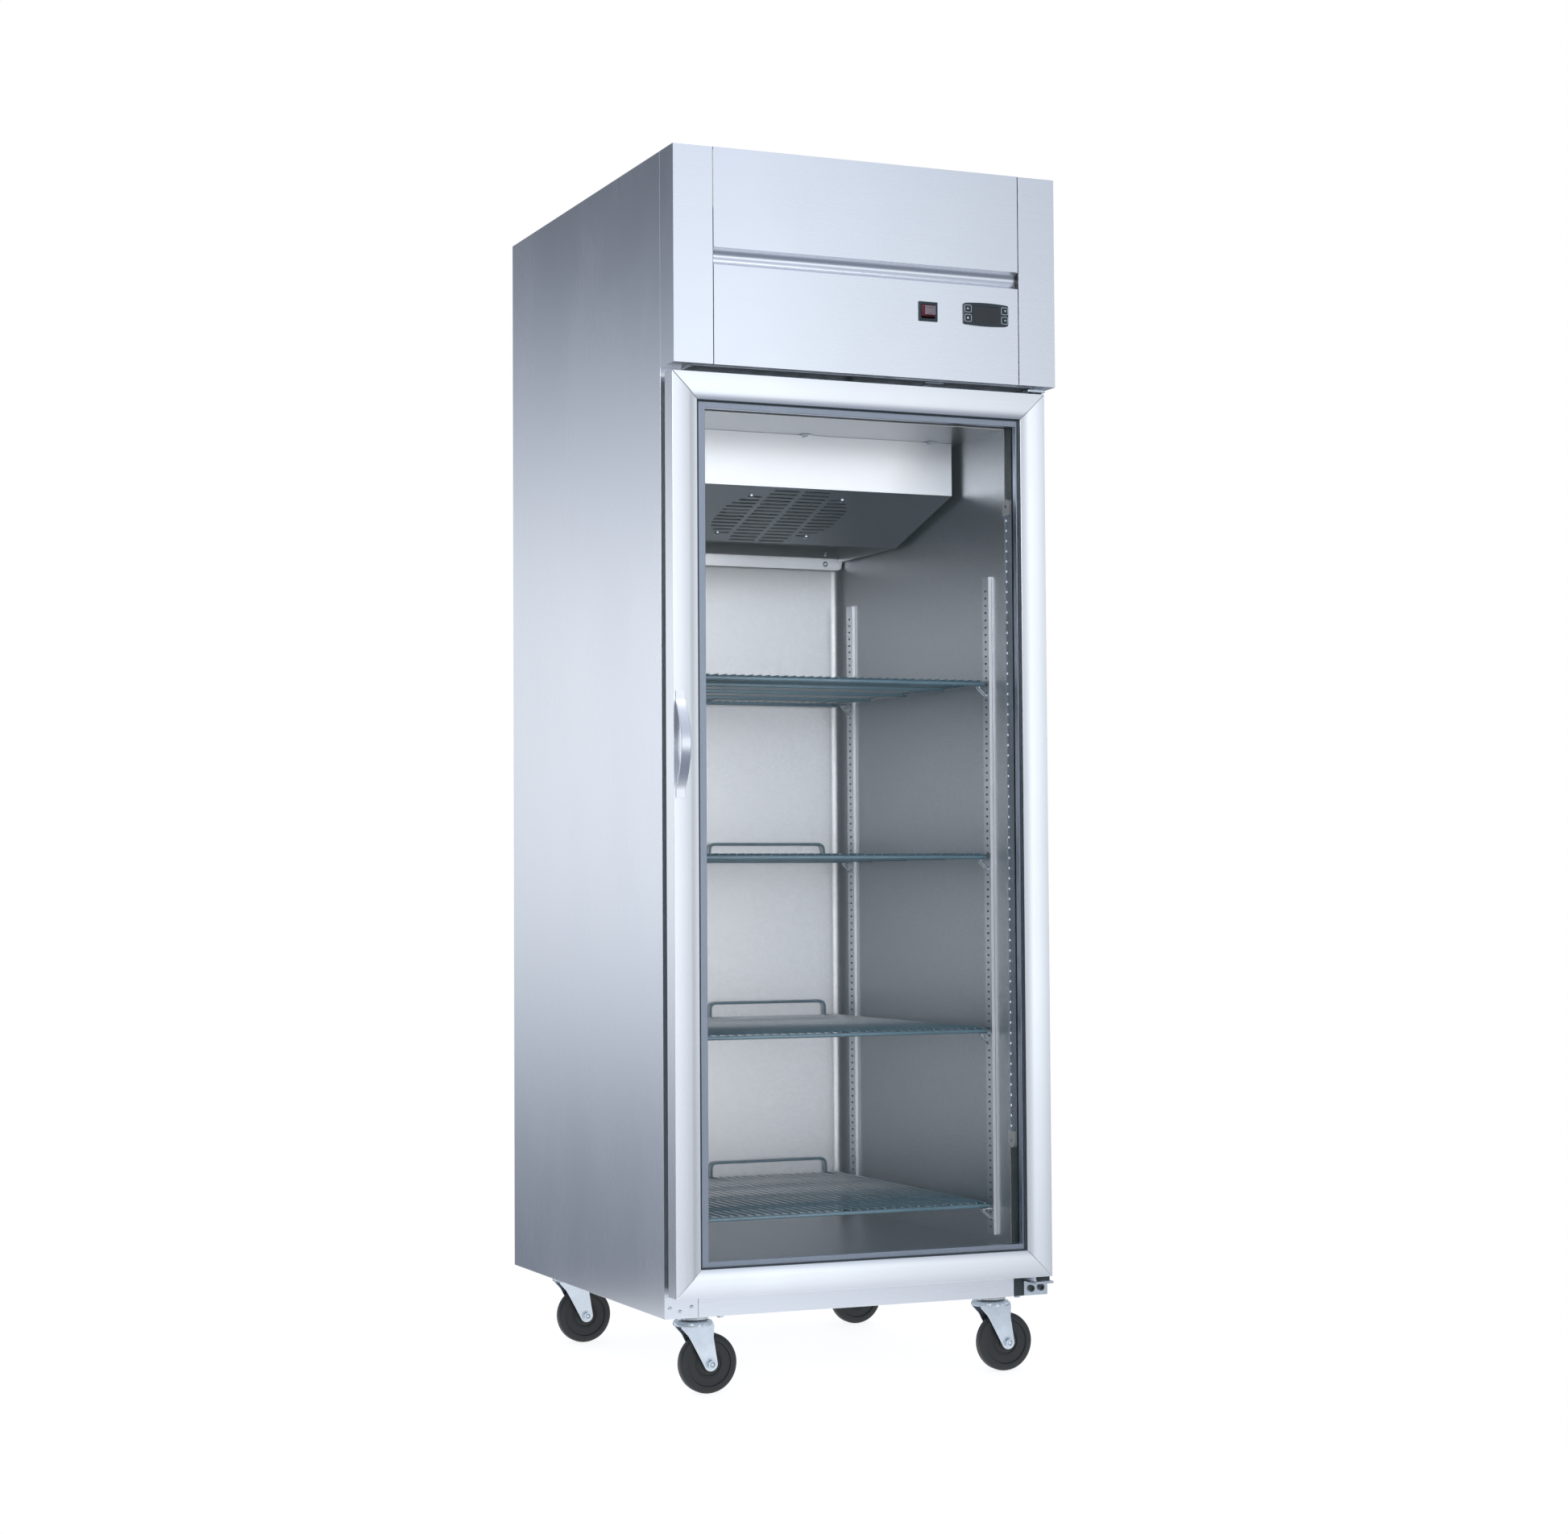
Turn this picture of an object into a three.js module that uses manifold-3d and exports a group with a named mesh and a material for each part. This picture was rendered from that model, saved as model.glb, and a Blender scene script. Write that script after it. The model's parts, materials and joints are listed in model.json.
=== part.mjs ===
// One-section reach-in refrigerator with a glass door, a top-mounted condensing
// unit behind a lift-up service panel, four wire shelves and four swivel casters.
//
// Millimetres. +X is to the right seen from the front, +Y to the back, +Z up.
// Inside this file y = 0 is the front face of the insulated body. The exported
// group shifts everything so that the origin is under the middle of the whole
// object, on the floor.

import * as THREE from 'three';
import { mergeVertices } from 'three/addons/utils/BufferGeometryUtils.js';
import Module from 'manifold-3d';

const wasm = await Module();
wasm.setup();

// ---------------------------------------------------------------- dimensions

const GAP = 0.3; // clearance between pieces that touch
const SHEET = 1.2; // stainless sheet thickness

// Outer body
const HALF_WIDTH = 350;
const DEPTH = 780;
const BOTTOM = 135;
const TOP = 2045;
const SKIN = 1;
const FLANGE = 38; // front flange of the side panels
const BACK_THICKNESS = 1.2;

// Insulated chamber (inner faces)
const CHAMBER_HALF = 297;
const CHAMBER_FRONT = 28;
const CHAMBER_BACK = 730;
const CHAMBER_FLOOR = 215;
const CHAMBER_CEILING = 1624;
const LINER = 1.1;
const CHAMBER_COVE = 18;
const BREAKER_STEP = 3.3; // the breaker strip stands back from the liner
const BREAKER_BOTTOM = 200;
const BREAKER_TOP = 1639;

// Trim below the door
const BOTTOM_RAIL = { left: -291, right: 286.5, top: 176 };
const CORNER_PLATE = { right: -291.5, top: 171, hole: 2 };
const CORNER_SCREWS = [[-340.6, 152.7], [-323.1, 146.5], [-302.7, 153]];

// Header with the service panel
const HEADER_BOTTOM = 1686.5;
const HEADER_REACH = 62;
const POST_WIDTH = 70;
const POST_LIP = 18; // the post's inner edge is folded back by this much
const PANEL_HALF = 279.4;
const GROOVE_LOW = 1851;
const GROOVE_HIGH = 1879.7;
const GROOVE_DEPTH = 10;
const PANEL_RETURN = 12;

// Power switch and temperature controller on the service panel
const SWITCH = { x: 108.5, z: 1800.5, width: 35, height: 33, window: 25, windowHeight: 23 };
const SWITCH_BODY = { inset: 3, rim: 2.2, back: -42, wellBottom: -46 };
const ROCKER_PIVOT_Y = -56;
const ROCKER_SIDE_GAP = 0.6;
const ROCKER_TILT = 7; // degrees either side of level
const CONTROLLER = { x: 217, z: 1802.5, width: 84, height: 39, bulge: 2 };
const CONTROLLER_BODY = { width: 71, height: 28, front: -63, back: -20 };
const CUTOUT = { front: -70, back: -50 }; // depths between which the panel is cut through
const CONTROL_FACE = -66;
const BUTTON = { width: 7.6, height: 9, offsetX: 35.5, offsetZ: 8, proud: 0.8, travel: 0.6 };

// Door
const DOOR = { left: -350, right: 333, bottom: 173, top: 1675, front: -53.5, back: -19.6 };
const DOOR_BAND = 45; // width of the frame extrusion
const DOOR_FLAT = 29; // its flat outer part; the rest slopes back to the glass
const DOOR_SLOPE = 4;
const DOOR_SEAL_INSET = 9.5; // seal and liner profile behind the frame
const GLASS_LIP = { width: 6, thick: 1.5 }; // of the inner profile, behind the inner pane
const PROFILE_BACK = 40; // where the deep part of the inner profile ends, from the door's edge
const GLASS = 4;
const SPACER = { left: 15.5, right: 6, bottom: 11, top: 12.5, depth: 12 }; // off centre in the frame
const SEAL_WIDTH = 22;
const PIVOT = { x: 324, y: -36, pin: 4.5, bore: 5.2, pinDepth: 20, boreDepth: 24 };
const HINGE = { left: 305, right: 338, collar: 9, plate: 3, arm: 4, lowArm: 160 };
const HANDLE = { x: -347, width: 16.5, bottom: 979, top: 1152.5, bow: 28.5, foot: 14, thick: 3 };

// Shelves and their supports
const SHELF_LEVELS = [287, 589, 891, 1193];
const SHELF_HALF = 288;
const SHELF_FRONT = 92;
const SHELF_BACK = 720;
const SHELF_BARS = 5;
const SHELF_WIRE = 3.5;
const SHELF_BAR = 7;
const SHELF_SLOTS = 12;
const SHELF_OVERHANG = 8; // the cross bars reach past the grid by this much
const HOOP = { inner: 21, outer: 258, height: 28, radius: 12, wire: 5 };
const PILASTER = { depth: 5.7, front: [80, 104], rear: [653, 680], bottom: 231, top: 1373 };

// Evaporator housing under the ceiling
const EVAP = { half: 284, front: 206, back: 698, top: 1623.6, knee: 1530, low: 1461.5, slopeEnd: 441 };
const EVAP_SHEET = 1.5;
const GRILLE = { y: 327, radius: 118, pitch: 18, slot: 8, rib: 9, squash: 0.86 };
const EVAP_FAN = { radius: 100, hub: 30, blades: 5, standoff: 24 };
const HUB_CLEARANCE = 11.5; // from a rotor's centre to the end of its motor's shaft
const MOTOR_CLEARANCE = 17; // and to the motor's face, clear of the blades
const SHAFT = 5;
const EVAP_MOTOR = { radius: 38, length: 38, strapHalf: 130, strapWidth: 24, strapThick: 4 };
const EVAP_COIL = { half: 225, front: 480, back: 660, bottom: 1496, top: 1602, plate: 15, margin: 6 };
const REAR_RAIL = { half: 293, front: 700, back: 722, bottom: 1447, top: 1491 };

// Chamber lamp on the right front jamb
const LAMP = { x: 300, front: 2.5, back: 27, bottom: 386, top: 1501, cap: 28, base: 3, depth: 7 };

// Condensing unit on the machine deck
const COMPRESSOR = { x: 190, y: 590, radius: 78, height: 185 };
const COMPRESSOR_BASE = { halfX: 94, halfY: 76, bottom: 8, top: 12, footX: 80, footY: 62, foot: 14 };
const CONDENSER = { x0: -250, x1: 110, y0: 64, y1: 112, z0: 1700, z1: 1980 };
const CONDENSER_PLATE = { thick: 13, margin: 4 };
const SHROUD_DEPTH = 30;
const CONDENSER_FAN = { radius: 112, hub: 26, blades: 5 };
const CONDENSER_MOTOR = { radius: 42, length: 62, strapWidth: 24, strapThick: 4 };
const CONTROL_BOX = { x0: -330, x1: -190, y0: 500, y1: 700, height: 95 };
const CABLE_GLAND = { radius: 14, length: 26 };

// Casters
const CASTER = { x: 275, frontY: 65, rearY: 680, trail: 25, plate: 3, cup: 26, seatX: 45, seatY: 38 };
const WHEEL = { radius: 50, halfWidth: 12, sides: 24, hub: 12, hubProud: 2, dish: 3, bore: 5.6 };
const FORK = { crown: 33, leg: 3, inside: 16, radius: 12, crownTop: 124, crownThick: 6, toe: 18 };
const AXLE = { radius: 5, proud: 6 };

const HANDLE_FRONT = DOOR.front - HANDLE.bow;
const ORIGIN_Y = (DEPTH + HANDLE_FRONT) / 2;

// ------------------------------------------------------------------ materials

const finish = (color, roughness, metalness) => ({ color, roughness, metalness });
const STAINLESS = finish(0xc9ced6, 0.35, 0.9);
const LINER_STEEL = finish(0xa9adb4, 0.4, 0.85);
const GALVANISED = finish(0xb4bac2, 0.45, 0.8);
const ALUMINIUM = finish(0xe0e5ec, 0.35, 0.85);
const ANODISED = finish(0x8b93a3, 0.45, 0.6);
const DARK_PLASTIC = finish(0x24323a, 0.5, 0);
const BLACK_METAL = finish(0x2e363b, 0.45, 0.4);
const FOAM = finish(0xe8dcae, 0.9, 0);
const RUBBER = finish(0x202a2c, 0.7, 0);
const ZINC = finish(0xaebccb, 0.3, 0.9);
const WHITE_PLASTIC = finish(0xeef1f4, 0.4, 0);
const DIFFUSER = finish(0xb9c6da, 0.3, 0);
const COATED_WIRE = finish(0x8fb0c6, 0.4, 0.1);
const RED_PLASTIC = finish(0xb86a78, 0.3, 0);
const FIN_METAL = finish(0x8a9299, 0.5, 0.7);

function part(name, look, geometry) {
  const flat = geometry.index ? geometry.toNonIndexed() : geometry;
  flat.computeVertexNormals();
  const material = new THREE.MeshStandardMaterial({ ...look, flatShading: true });
  if (look.opacity) material.transparent = true;
  const mesh = new THREE.Mesh(flat, material);
  mesh.name = name;
  return mesh;
}

// ------------------------------------------------------------ shape functions

// Watertight solids and back again, for the two boolean operations below.
function toSolid(geometry) {
  const bare = geometry.clone();
  bare.deleteAttribute('normal');
  bare.deleteAttribute('uv');
  const merged = mergeVertices(bare, 1e-4);
  return new wasm.Manifold(new wasm.Mesh({
    numProp: 3,
    vertProperties: new Float32Array(merged.attributes.position.array),
    triVerts: new Uint32Array(merged.index.array),
  }));
}

function toGeometry(solid) {
  const mesh = solid.getMesh();
  const geometry = new THREE.BufferGeometry();
  geometry.setAttribute('position', new THREE.BufferAttribute(mesh.vertProperties, 3));
  geometry.setIndex(new THREE.BufferAttribute(mesh.triVerts, 1));
  return geometry;
}

function join(...geometries) {
  const [first, ...rest] = geometries.map(toSolid);
  return toGeometry(rest.reduce((sum, solid) => sum.add(solid), first));
}

function cut(geometry, ...tools) {
  return toGeometry(tools.map(toSolid).reduce((sum, solid) => sum.subtract(solid), toSolid(geometry)));
}

function box(x0, x1, y0, y1, z0, z1) {
  const geometry = new THREE.BoxGeometry(x1 - x0, y1 - y0, z1 - z0);
  return geometry.translate((x0 + x1) / 2, (y0 + y1) / 2, (z0 + z1) / 2);
}

const vectors = (outline) => outline.map(([u, v]) => new THREE.Vector2(u, v));

// An outline extruded along one axis. The outline is (y, z) for 'x', (x, z) for
// 'y' and (x, y) for 'z'.
function prism(axis, outline, from, to, holes = []) {
  const shape = new THREE.Shape(vectors(outline));
  shape.holes = holes.map((hole) => new THREE.Path(vectors(hole)));
  const geometry = new THREE.ExtrudeGeometry(shape, { depth: to - from, bevelEnabled: false });
  if (axis === 'y') return geometry.translate(0, 0, -to).rotateX(Math.PI / 2);
  geometry.translate(0, 0, from);
  if (axis === 'z') return geometry;
  const turn = new THREE.Matrix4().makeBasis(
    new THREE.Vector3(0, 1, 0), new THREE.Vector3(0, 0, 1), new THREE.Vector3(1, 0, 0));
  return geometry.applyMatrix4(turn);
}

const rectangle = (u0, u1, v0, v1) => [[u0, v0], [u1, v0], [u1, v1], [u0, v1]];

function arc(cu, cv, radius, startDegrees, endDegrees, steps) {
  return Array.from({ length: steps + 1 }, (_, i) => {
    const angle = THREE.MathUtils.degToRad(startDegrees + ((endDegrees - startDegrees) * i) / steps);
    return [cu + radius * Math.cos(angle), cv + radius * Math.sin(angle)];
  });
}

const disc = (cu, cv, radius, sides) =>
  arc(cu, cv, radius, 180 / sides, 360 + 180 / sides, sides).slice(0, sides);

const mirrored = (outline) => outline.map(([u, v]) => [-u, v]).reverse();

// A rectangle inset from the door's outline.
const doorInset = (d) => rectangle(DOOR.left + d, DOOR.right - d, DOOR.bottom + d, DOOR.top - d);

// A picture-frame shape around the door, between two insets and two depths.
const doorRing = (outer, inner, y0, y1) => prism('y', doorInset(outer), y0, y1, [doorInset(inner)]);

// A rotor with pitched blades, axis along +Z, hub centred on the origin.
function rotor({ radius, hub, blades }) {
  const depth = 22;
  const pitch = THREE.MathUtils.degToRad(22);
  const tip = 20; // half the angle of a blade at its tip, and at its root
  const root = 12;
  const rootDepth = 8; // how far a blade's root reaches into the hub
  const outline = [...arc(0, 0, radius, -tip, tip, 4), ...arc(0, 0, hub - rootDepth, root, -root, 1)];
  const hubBody = prism('z', disc(0, 0, hub, 15), -depth / 2, depth / 2);
  const pieces = Array.from({ length: blades }, (_, i) =>
    prism('z', outline, -1, 1).rotateX(pitch).rotateZ((i * 2 * Math.PI) / blades));
  return join(hubBody, ...pieces);
}

// -------------------------------------------------------------- cabinet shell

// Plan of the right side panel: the skin, turned across the front in a flange.
function sidePanelOutline() {
  const inner = HALF_WIDTH - SKIN;
  return [
    [HALF_WIDTH, 0], [HALF_WIDTH, DEPTH], [inner, DEPTH], [inner, SKIN],
    [HALF_WIDTH - FLANGE, SKIN], [HALF_WIDTH - FLANGE, 0],
  ];
}

function cabinetShell(group) {
  const insideSkin = HALF_WIDTH - SKIN - GAP;
  const betweenFlanges = HALF_WIDTH - FLANGE - GAP;
  const backInner = DEPTH - BACK_THICKNESS;

  group.add(part('right_side_panel', STAINLESS, prism('z', sidePanelOutline(), BOTTOM, TOP)));
  group.add(part('left_side_panel', STAINLESS, prism('z', mirrored(sidePanelOutline()), BOTTOM, TOP)));
  group.add(part('back_panel', STAINLESS,
    box(-insideSkin, insideSkin, backInner, DEPTH, BOTTOM, HEADER_BOTTOM)));

  const panDepth = backInner - GAP;
  const pan = [
    box(-insideSkin, insideSkin, SKIN + GAP, panDepth, BOTTOM, BOTTOM + SHEET),
    box(-betweenFlanges, betweenFlanges, 0, SHEET + GAP, BOTTOM, BREAKER_BOTTOM - GAP),
  ];
  const { seatX, seatY, cup, plate } = CASTER;
  const seat = BOTTOM - plate;
  for (const x of [-CASTER.x, CASTER.x]) {
    for (const y of [CASTER.frontY, CASTER.rearY]) {
      pan.push(box(x - seatX, x + seatX, y - seatY, y + seatY, seat, BOTTOM + GAP));
      pan.push(prism('z', disc(x, y, cup, 16), FORK.crownTop + GAP, seat + GAP));
    }
  }
  group.add(part('bottom_pan', GALVANISED, join(...pan)));

  // The deck turns down across the front, and a soffit closes the header from below.
  const soffitFront = PANEL_RETURN - HEADER_REACH + GAP;
  group.add(part('machine_deck', GALVANISED, join(
    box(-insideSkin, insideSkin, SKIN + GAP, panDepth, HEADER_BOTTOM - SHEET, HEADER_BOTTOM),
    box(-betweenFlanges, betweenFlanges, 0, SHEET + GAP, BREAKER_TOP + GAP, HEADER_BOTTOM),
    box(-betweenFlanges, betweenFlanges, soffitFront, SHEET,
      HEADER_BOTTOM - SHEET - GAP, HEADER_BOTTOM - GAP))));

  group.add(part('front_bottom_rail', STAINLESS,
    box(BOTTOM_RAIL.left, BOTTOM_RAIL.right, -SHEET - GAP, -GAP, BOTTOM, BOTTOM_RAIL.top)));
  const screwHoles = CORNER_SCREWS.map(([x, z]) => disc(x, z, CORNER_PLATE.hole, 8));
  const cornerOutline = rectangle(-HALF_WIDTH, CORNER_PLATE.right, BOTTOM, CORNER_PLATE.top);
  group.add(part('corner_plate', STAINLESS,
    prism('y', cornerOutline, -SHEET - GAP, -GAP, screwHoles)));
}

function insulation(group) {
  const outer = HALF_WIDTH - SKIN - 2 * GAP;
  const clear = LINER + GAP;
  const foam = cut(
    box(-outer, outer, SKIN + 2 * GAP, DEPTH - BACK_THICKNESS - 2 * GAP,
      BOTTOM + SHEET + GAP, HEADER_BOTTOM - SHEET - GAP),
    box(-CHAMBER_HALF - clear, CHAMBER_HALF + clear, 0, CHAMBER_BACK + clear,
      CHAMBER_FLOOR - clear, CHAMBER_CEILING + clear),
    box(-HALF_WIDTH + FLANGE, HALF_WIDTH - FLANGE, 0, CHAMBER_FRONT + 2 * GAP,
      BREAKER_BOTTOM - GAP, BREAKER_TOP + GAP));
  group.add(part('foam_insulation', FOAM, foam));

  const plan = (grow, front) => {
    const half = CHAMBER_HALF + grow;
    const back = CHAMBER_BACK + grow;
    const radius = CHAMBER_COVE + grow;
    return [
      [-half, front], [half, front],
      ...arc(half - radius, back - radius, radius, 0, 90, 4),
      ...arc(-half + radius, back - radius, radius, 90, 180, 4),
    ];
  };
  const liner = cut(
    prism('z', plan(LINER, CHAMBER_FRONT + GAP), CHAMBER_FLOOR - LINER, CHAMBER_CEILING + LINER),
    prism('z', plan(0, 0), CHAMBER_FLOOR, CHAMBER_CEILING));
  group.add(part('inner_liner', LINER_STEEL, liner));

  const opening = CHAMBER_HALF + BREAKER_STEP;
  const edge = HALF_WIDTH - FLANGE - GAP;
  group.add(part('breaker_frame', DARK_PLASTIC, prism('y',
    rectangle(-edge, edge, BREAKER_BOTTOM, BREAKER_TOP), 0, CHAMBER_FRONT,
    [rectangle(-opening, opening, CHAMBER_FLOOR - BREAKER_STEP, CHAMBER_CEILING + BREAKER_STEP)])));
}

// --------------------------------------------------------------------- header

function headerPost() {
  const front = -HEADER_REACH;
  const inner = HALF_WIDTH - POST_WIDTH + 1;
  const channel = [
    [HALF_WIDTH, front], [HALF_WIDTH, -GAP], [HALF_WIDTH - SHEET, -GAP],
    [HALF_WIDTH - SHEET, front + SHEET], [inner + SHEET, front + SHEET],
    [inner + SHEET, front + POST_LIP], [inner, front + POST_LIP], [inner, front],
  ];
  return { channel, inner };
}

function header(group) {
  const { channel, inner } = headerPost();
  const lap = SHEET / 2; // the foot flange ends inside the channel's sheet
  const foot = (x0, x1) =>
    box(x0, x1, -HEADER_REACH + lap, -GAP, HEADER_BOTTOM, HEADER_BOTTOM + SHEET);
  group.add(part('header_right_post', STAINLESS, join(
    prism('z', channel, HEADER_BOTTOM, TOP), foot(inner + lap, HALF_WIDTH - lap))));
  group.add(part('header_left_post', STAINLESS, join(
    prism('z', mirrored(channel), HEADER_BOTTOM, TOP), foot(-HALF_WIDTH + lap, -inner - lap))));
}

function panelProfile() {
  const front = -HEADER_REACH;
  const chord = (GROOVE_HIGH - GROOVE_LOW) / 2;
  const radius = (chord ** 2 + GROOVE_DEPTH ** 2) / (2 * GROOVE_DEPTH);
  const centreY = front + GROOVE_DEPTH - radius;
  const centreZ = GROOVE_LOW + chord;
  const reach = THREE.MathUtils.radToDeg(Math.asin(chord / radius));
  const back = front + PANEL_RETURN;
  const trim = 4; // degrees by which the inner arc stops short at either end
  return [
    [front, HEADER_BOTTOM], ...arc(centreY, centreZ, radius, -reach, reach, 8), [front, TOP],
    [back, TOP], [back, TOP - SHEET], [front + SHEET, TOP - SHEET],
    ...arc(centreY, centreZ, radius + SHEET, reach - trim, trim - reach, 8),
    [front + SHEET, HEADER_BOTTOM + SHEET], [back, HEADER_BOTTOM + SHEET], [back, HEADER_BOTTOM],
  ];
}

function servicePanel(group) {
  const cutout = ({ x, z }, body, play) => {
    const halfX = body.width / 2 + play;
    const halfZ = body.height / 2 + play;
    return box(x - halfX, x + halfX, CUTOUT.front, CUTOUT.back, z - halfZ, z + halfZ);
  };
  const play = 0.5;
  group.add(part('service_panel', STAINLESS, cut(
    prism('x', panelProfile(), -PANEL_HALF, PANEL_HALF),
    cutout(SWITCH, SWITCH, play - SWITCH_BODY.inset),
    cutout(CONTROLLER, CONTROLLER_BODY, play))));
  powerSwitch(group);
  controller(group);
}

function powerSwitch(group) {
  const { x, z, width, height, window, windowHeight } = SWITCH;
  const { inset, rim, back, wellBottom } = SWITCH_BODY;
  const face = -HEADER_REACH - GAP;
  const block = (w, h, y0, y1) => box(x - w / 2, x + w / 2, y0, y1, z - h / 2, z + h / 2);
  group.add(part('power_switch_bezel', DARK_PLASTIC, cut(
    join(block(width, height, face - rim, face),
      block(width - 2 * inset, height - 2 * inset, face - rim / 2, back)),
    block(window, windowHeight, CUTOUT.front, wellBottom))));

  // Side view of the rocker about its pivot: a shallow valley in front, a blunt back.
  const profile = [[-10.5, -9.6], [-8.5, 0], [-10.5, 9.6], [2, 9], [4, 0], [2, -9]];
  const halfRocker = window / 2 - ROCKER_SIDE_GAP;
  const rocker = part('power_switch_rocker', RED_PLASTIC, prism('x', profile, -halfRocker, halfRocker));
  rocker.position.set(x, ROCKER_PIVOT_Y, z);
  rocker.rotation.x = THREE.MathUtils.degToRad(-ROCKER_TILT);
  group.add(rocker);
}

function controller(group) {
  const { x, z, width, height, bulge } = CONTROLLER;
  const half = width / 2;
  const tall = height / 2;
  const crown = (sign) => Array.from({ length: 7 }, (_, i) => {
    const t = i / 3 - 1;
    return [x + sign * t * half, z + sign * (tall - bulge * t * t)];
  });
  const face = prism('y', [...crown(-1), ...crown(1)], CONTROL_FACE, -HEADER_REACH - GAP);
  const { width: w, height: h, front, back } = CONTROLLER_BODY;
  const body = box(x - w / 2, x + w / 2, front, back, z - h / 2, z + h / 2);
  const play = 0.4;
  const pocket = { w: BUTTON.width / 2 + play, h: BUTTON.height / 2 + play, depth: 2.6 };
  const places = [[-1, 1], [1, 1], [-1, -1], [1, -1]]
    .map(([sx, sz]) => [x + sx * BUTTON.offsetX, z + sz * BUTTON.offsetZ]);
  const pockets = places.map(([bx, bz]) => box(bx - pocket.w, bx + pocket.w,
    CUTOUT.front, CONTROL_FACE + pocket.depth, bz - pocket.h, bz + pocket.h));
  group.add(part('controller_body', BLACK_METAL, cut(join(face, body), ...pockets)));

  const floorGap = 0.2; // left under a button pressed home
  const depth = pocket.depth - BUTTON.travel - floorGap + BUTTON.proud;
  places.forEach(([bx, bz], i) => {
    const button = part(`controller_button_${i + 1}`, DARK_PLASTIC,
      box(-BUTTON.width / 2, BUTTON.width / 2, 0, depth, -BUTTON.height / 2, BUTTON.height / 2));
    button.position.set(bx, CONTROL_FACE - BUTTON.proud, bz);
    group.add(button);
  });
}

// ----------------------------------------------------------------------- door

// One frame member between two mitred ends. The profile is measured inwards
// from the door's edge; the member runs along the extrusion axis.
function frameMember(length) {
  const { front, back } = DOOR;
  const profile = [
    [0, front], [DOOR_FLAT, front], [DOOR_BAND, front + DOOR_SLOPE], [DOOR_BAND, back], [0, back],
  ];
  const geometry = prism('z', profile, 0, length);
  const position = geometry.attributes.position;
  for (let i = 0; i < position.count; i += 1) {
    const mitre = position.getX(i) + GAP / 2;
    const atStart = position.getZ(i) < length / 2;
    position.setZ(i, atStart ? mitre : length - mitre);
  }
  return geometry;
}

function doorFrame(group) {
  const height = DOOR.top - DOOR.bottom;
  const width = DOOR.right - DOOR.left;
  const quarter = Math.PI / 2;
  const left = frameMember(height).translate(DOOR.left, 0, DOOR.bottom);
  const right = frameMember(height).rotateY(2 * quarter).translate(DOOR.right, 0, DOOR.top);
  const top = frameMember(width).rotateY(quarter).translate(DOOR.left, 0, DOOR.top);
  const bottom = frameMember(width).rotateY(-quarter).translate(DOOR.right, 0, DOOR.bottom);
  const bore = (z0, z1) => prism('z', disc(PIVOT.x, PIVOT.y, PIVOT.bore, 12), z0, z1);
  const low = bore(DOOR.bottom - 1, DOOR.bottom + PIVOT.boreDepth);
  const high = bore(DOOR.top - PIVOT.boreDepth, DOOR.top + 1);
  group.add(part('door_frame_left', ALUMINIUM, left));
  group.add(part('door_frame_right', ALUMINIUM, cut(right, low, high)));
  group.add(part('door_frame_top', ALUMINIUM, cut(top, high)));
  group.add(part('door_frame_bottom', ALUMINIUM, cut(bottom, low)));
}

function glazing(group) {
  const edge = DOOR_BAND + GAP;
  const pane = (y0) => box(DOOR.left + edge, DOOR.right - edge, y0, y0 + GLASS,
    DOOR.bottom + edge, DOOR.top - edge);
  const clear = { ...finish(0xdfe8ee, 0.05, 0), opacity: 0.2 };
  const rebate = 0.7; // the outer pane sits this far behind the frame's inner edge
  const outerFront = DOOR.front + DOOR_SLOPE + rebate;
  const spacerFront = outerFront + GLASS + GAP;
  const innerFront = spacerFront + SPACER.depth + GAP;
  group.add(part('outer_glass', clear, pane(outerFront)));
  const opening = rectangle(DOOR.left + edge + SPACER.left, DOOR.right - edge - SPACER.right,
    DOOR.bottom + edge + SPACER.bottom, DOOR.top - edge - SPACER.top);
  group.add(part('glass_spacer', ANODISED,
    prism('y', doorInset(edge), spacerFront, spacerFront + SPACER.depth, [opening])));
  group.add(part('inner_glass', clear, pane(innerFront)));

  const sealSpace = 6;
  const inset = DOOR_SEAL_INSET;
  const lipFront = innerFront + GLASS + GAP;
  const profileFront = DOOR.back + GAP;
  const { width, thick } = GLASS_LIP;
  group.add(part('door_inner_profile', DARK_PLASTIC, join(
    doorRing(inset, PROFILE_BACK, profileFront, -sealSpace - GAP),
    doorRing(inset, edge + thick, profileFront, profileFront + thick),
    doorRing(edge, edge + thick, lipFront, profileFront + thick),
    doorRing(edge, edge + width, lipFront, lipFront + thick))));
  const gasketEdge = inset + 1;
  group.add(part('door_gasket', RUBBER,
    doorRing(gasketEdge, gasketEdge + SEAL_WIDTH, -sealSpace, -GAP)));
}

function doorHandle(group) {
  const { x, width, bottom, top, bow, foot, thick } = HANDLE;
  const face = DOOR.front - GAP;
  const span = top - bottom - 2 * foot;
  const depth = bow - GAP;
  const curve = (offset) => Array.from({ length: 13 }, (_, i) => {
    const t = i / 12;
    return [face - offset - (depth - thick) * Math.sin(Math.PI * t) ** 0.8, bottom + foot + span * t];
  });
  const outer = [[face - thick, bottom], ...curve(thick), [face - thick, top]];
  const inner = [[face, top], ...curve(0).reverse(), [face, bottom]];
  group.add(part('door_handle', STAINLESS, prism('x', [...outer, ...inner], x, x + width)));
}

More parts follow.
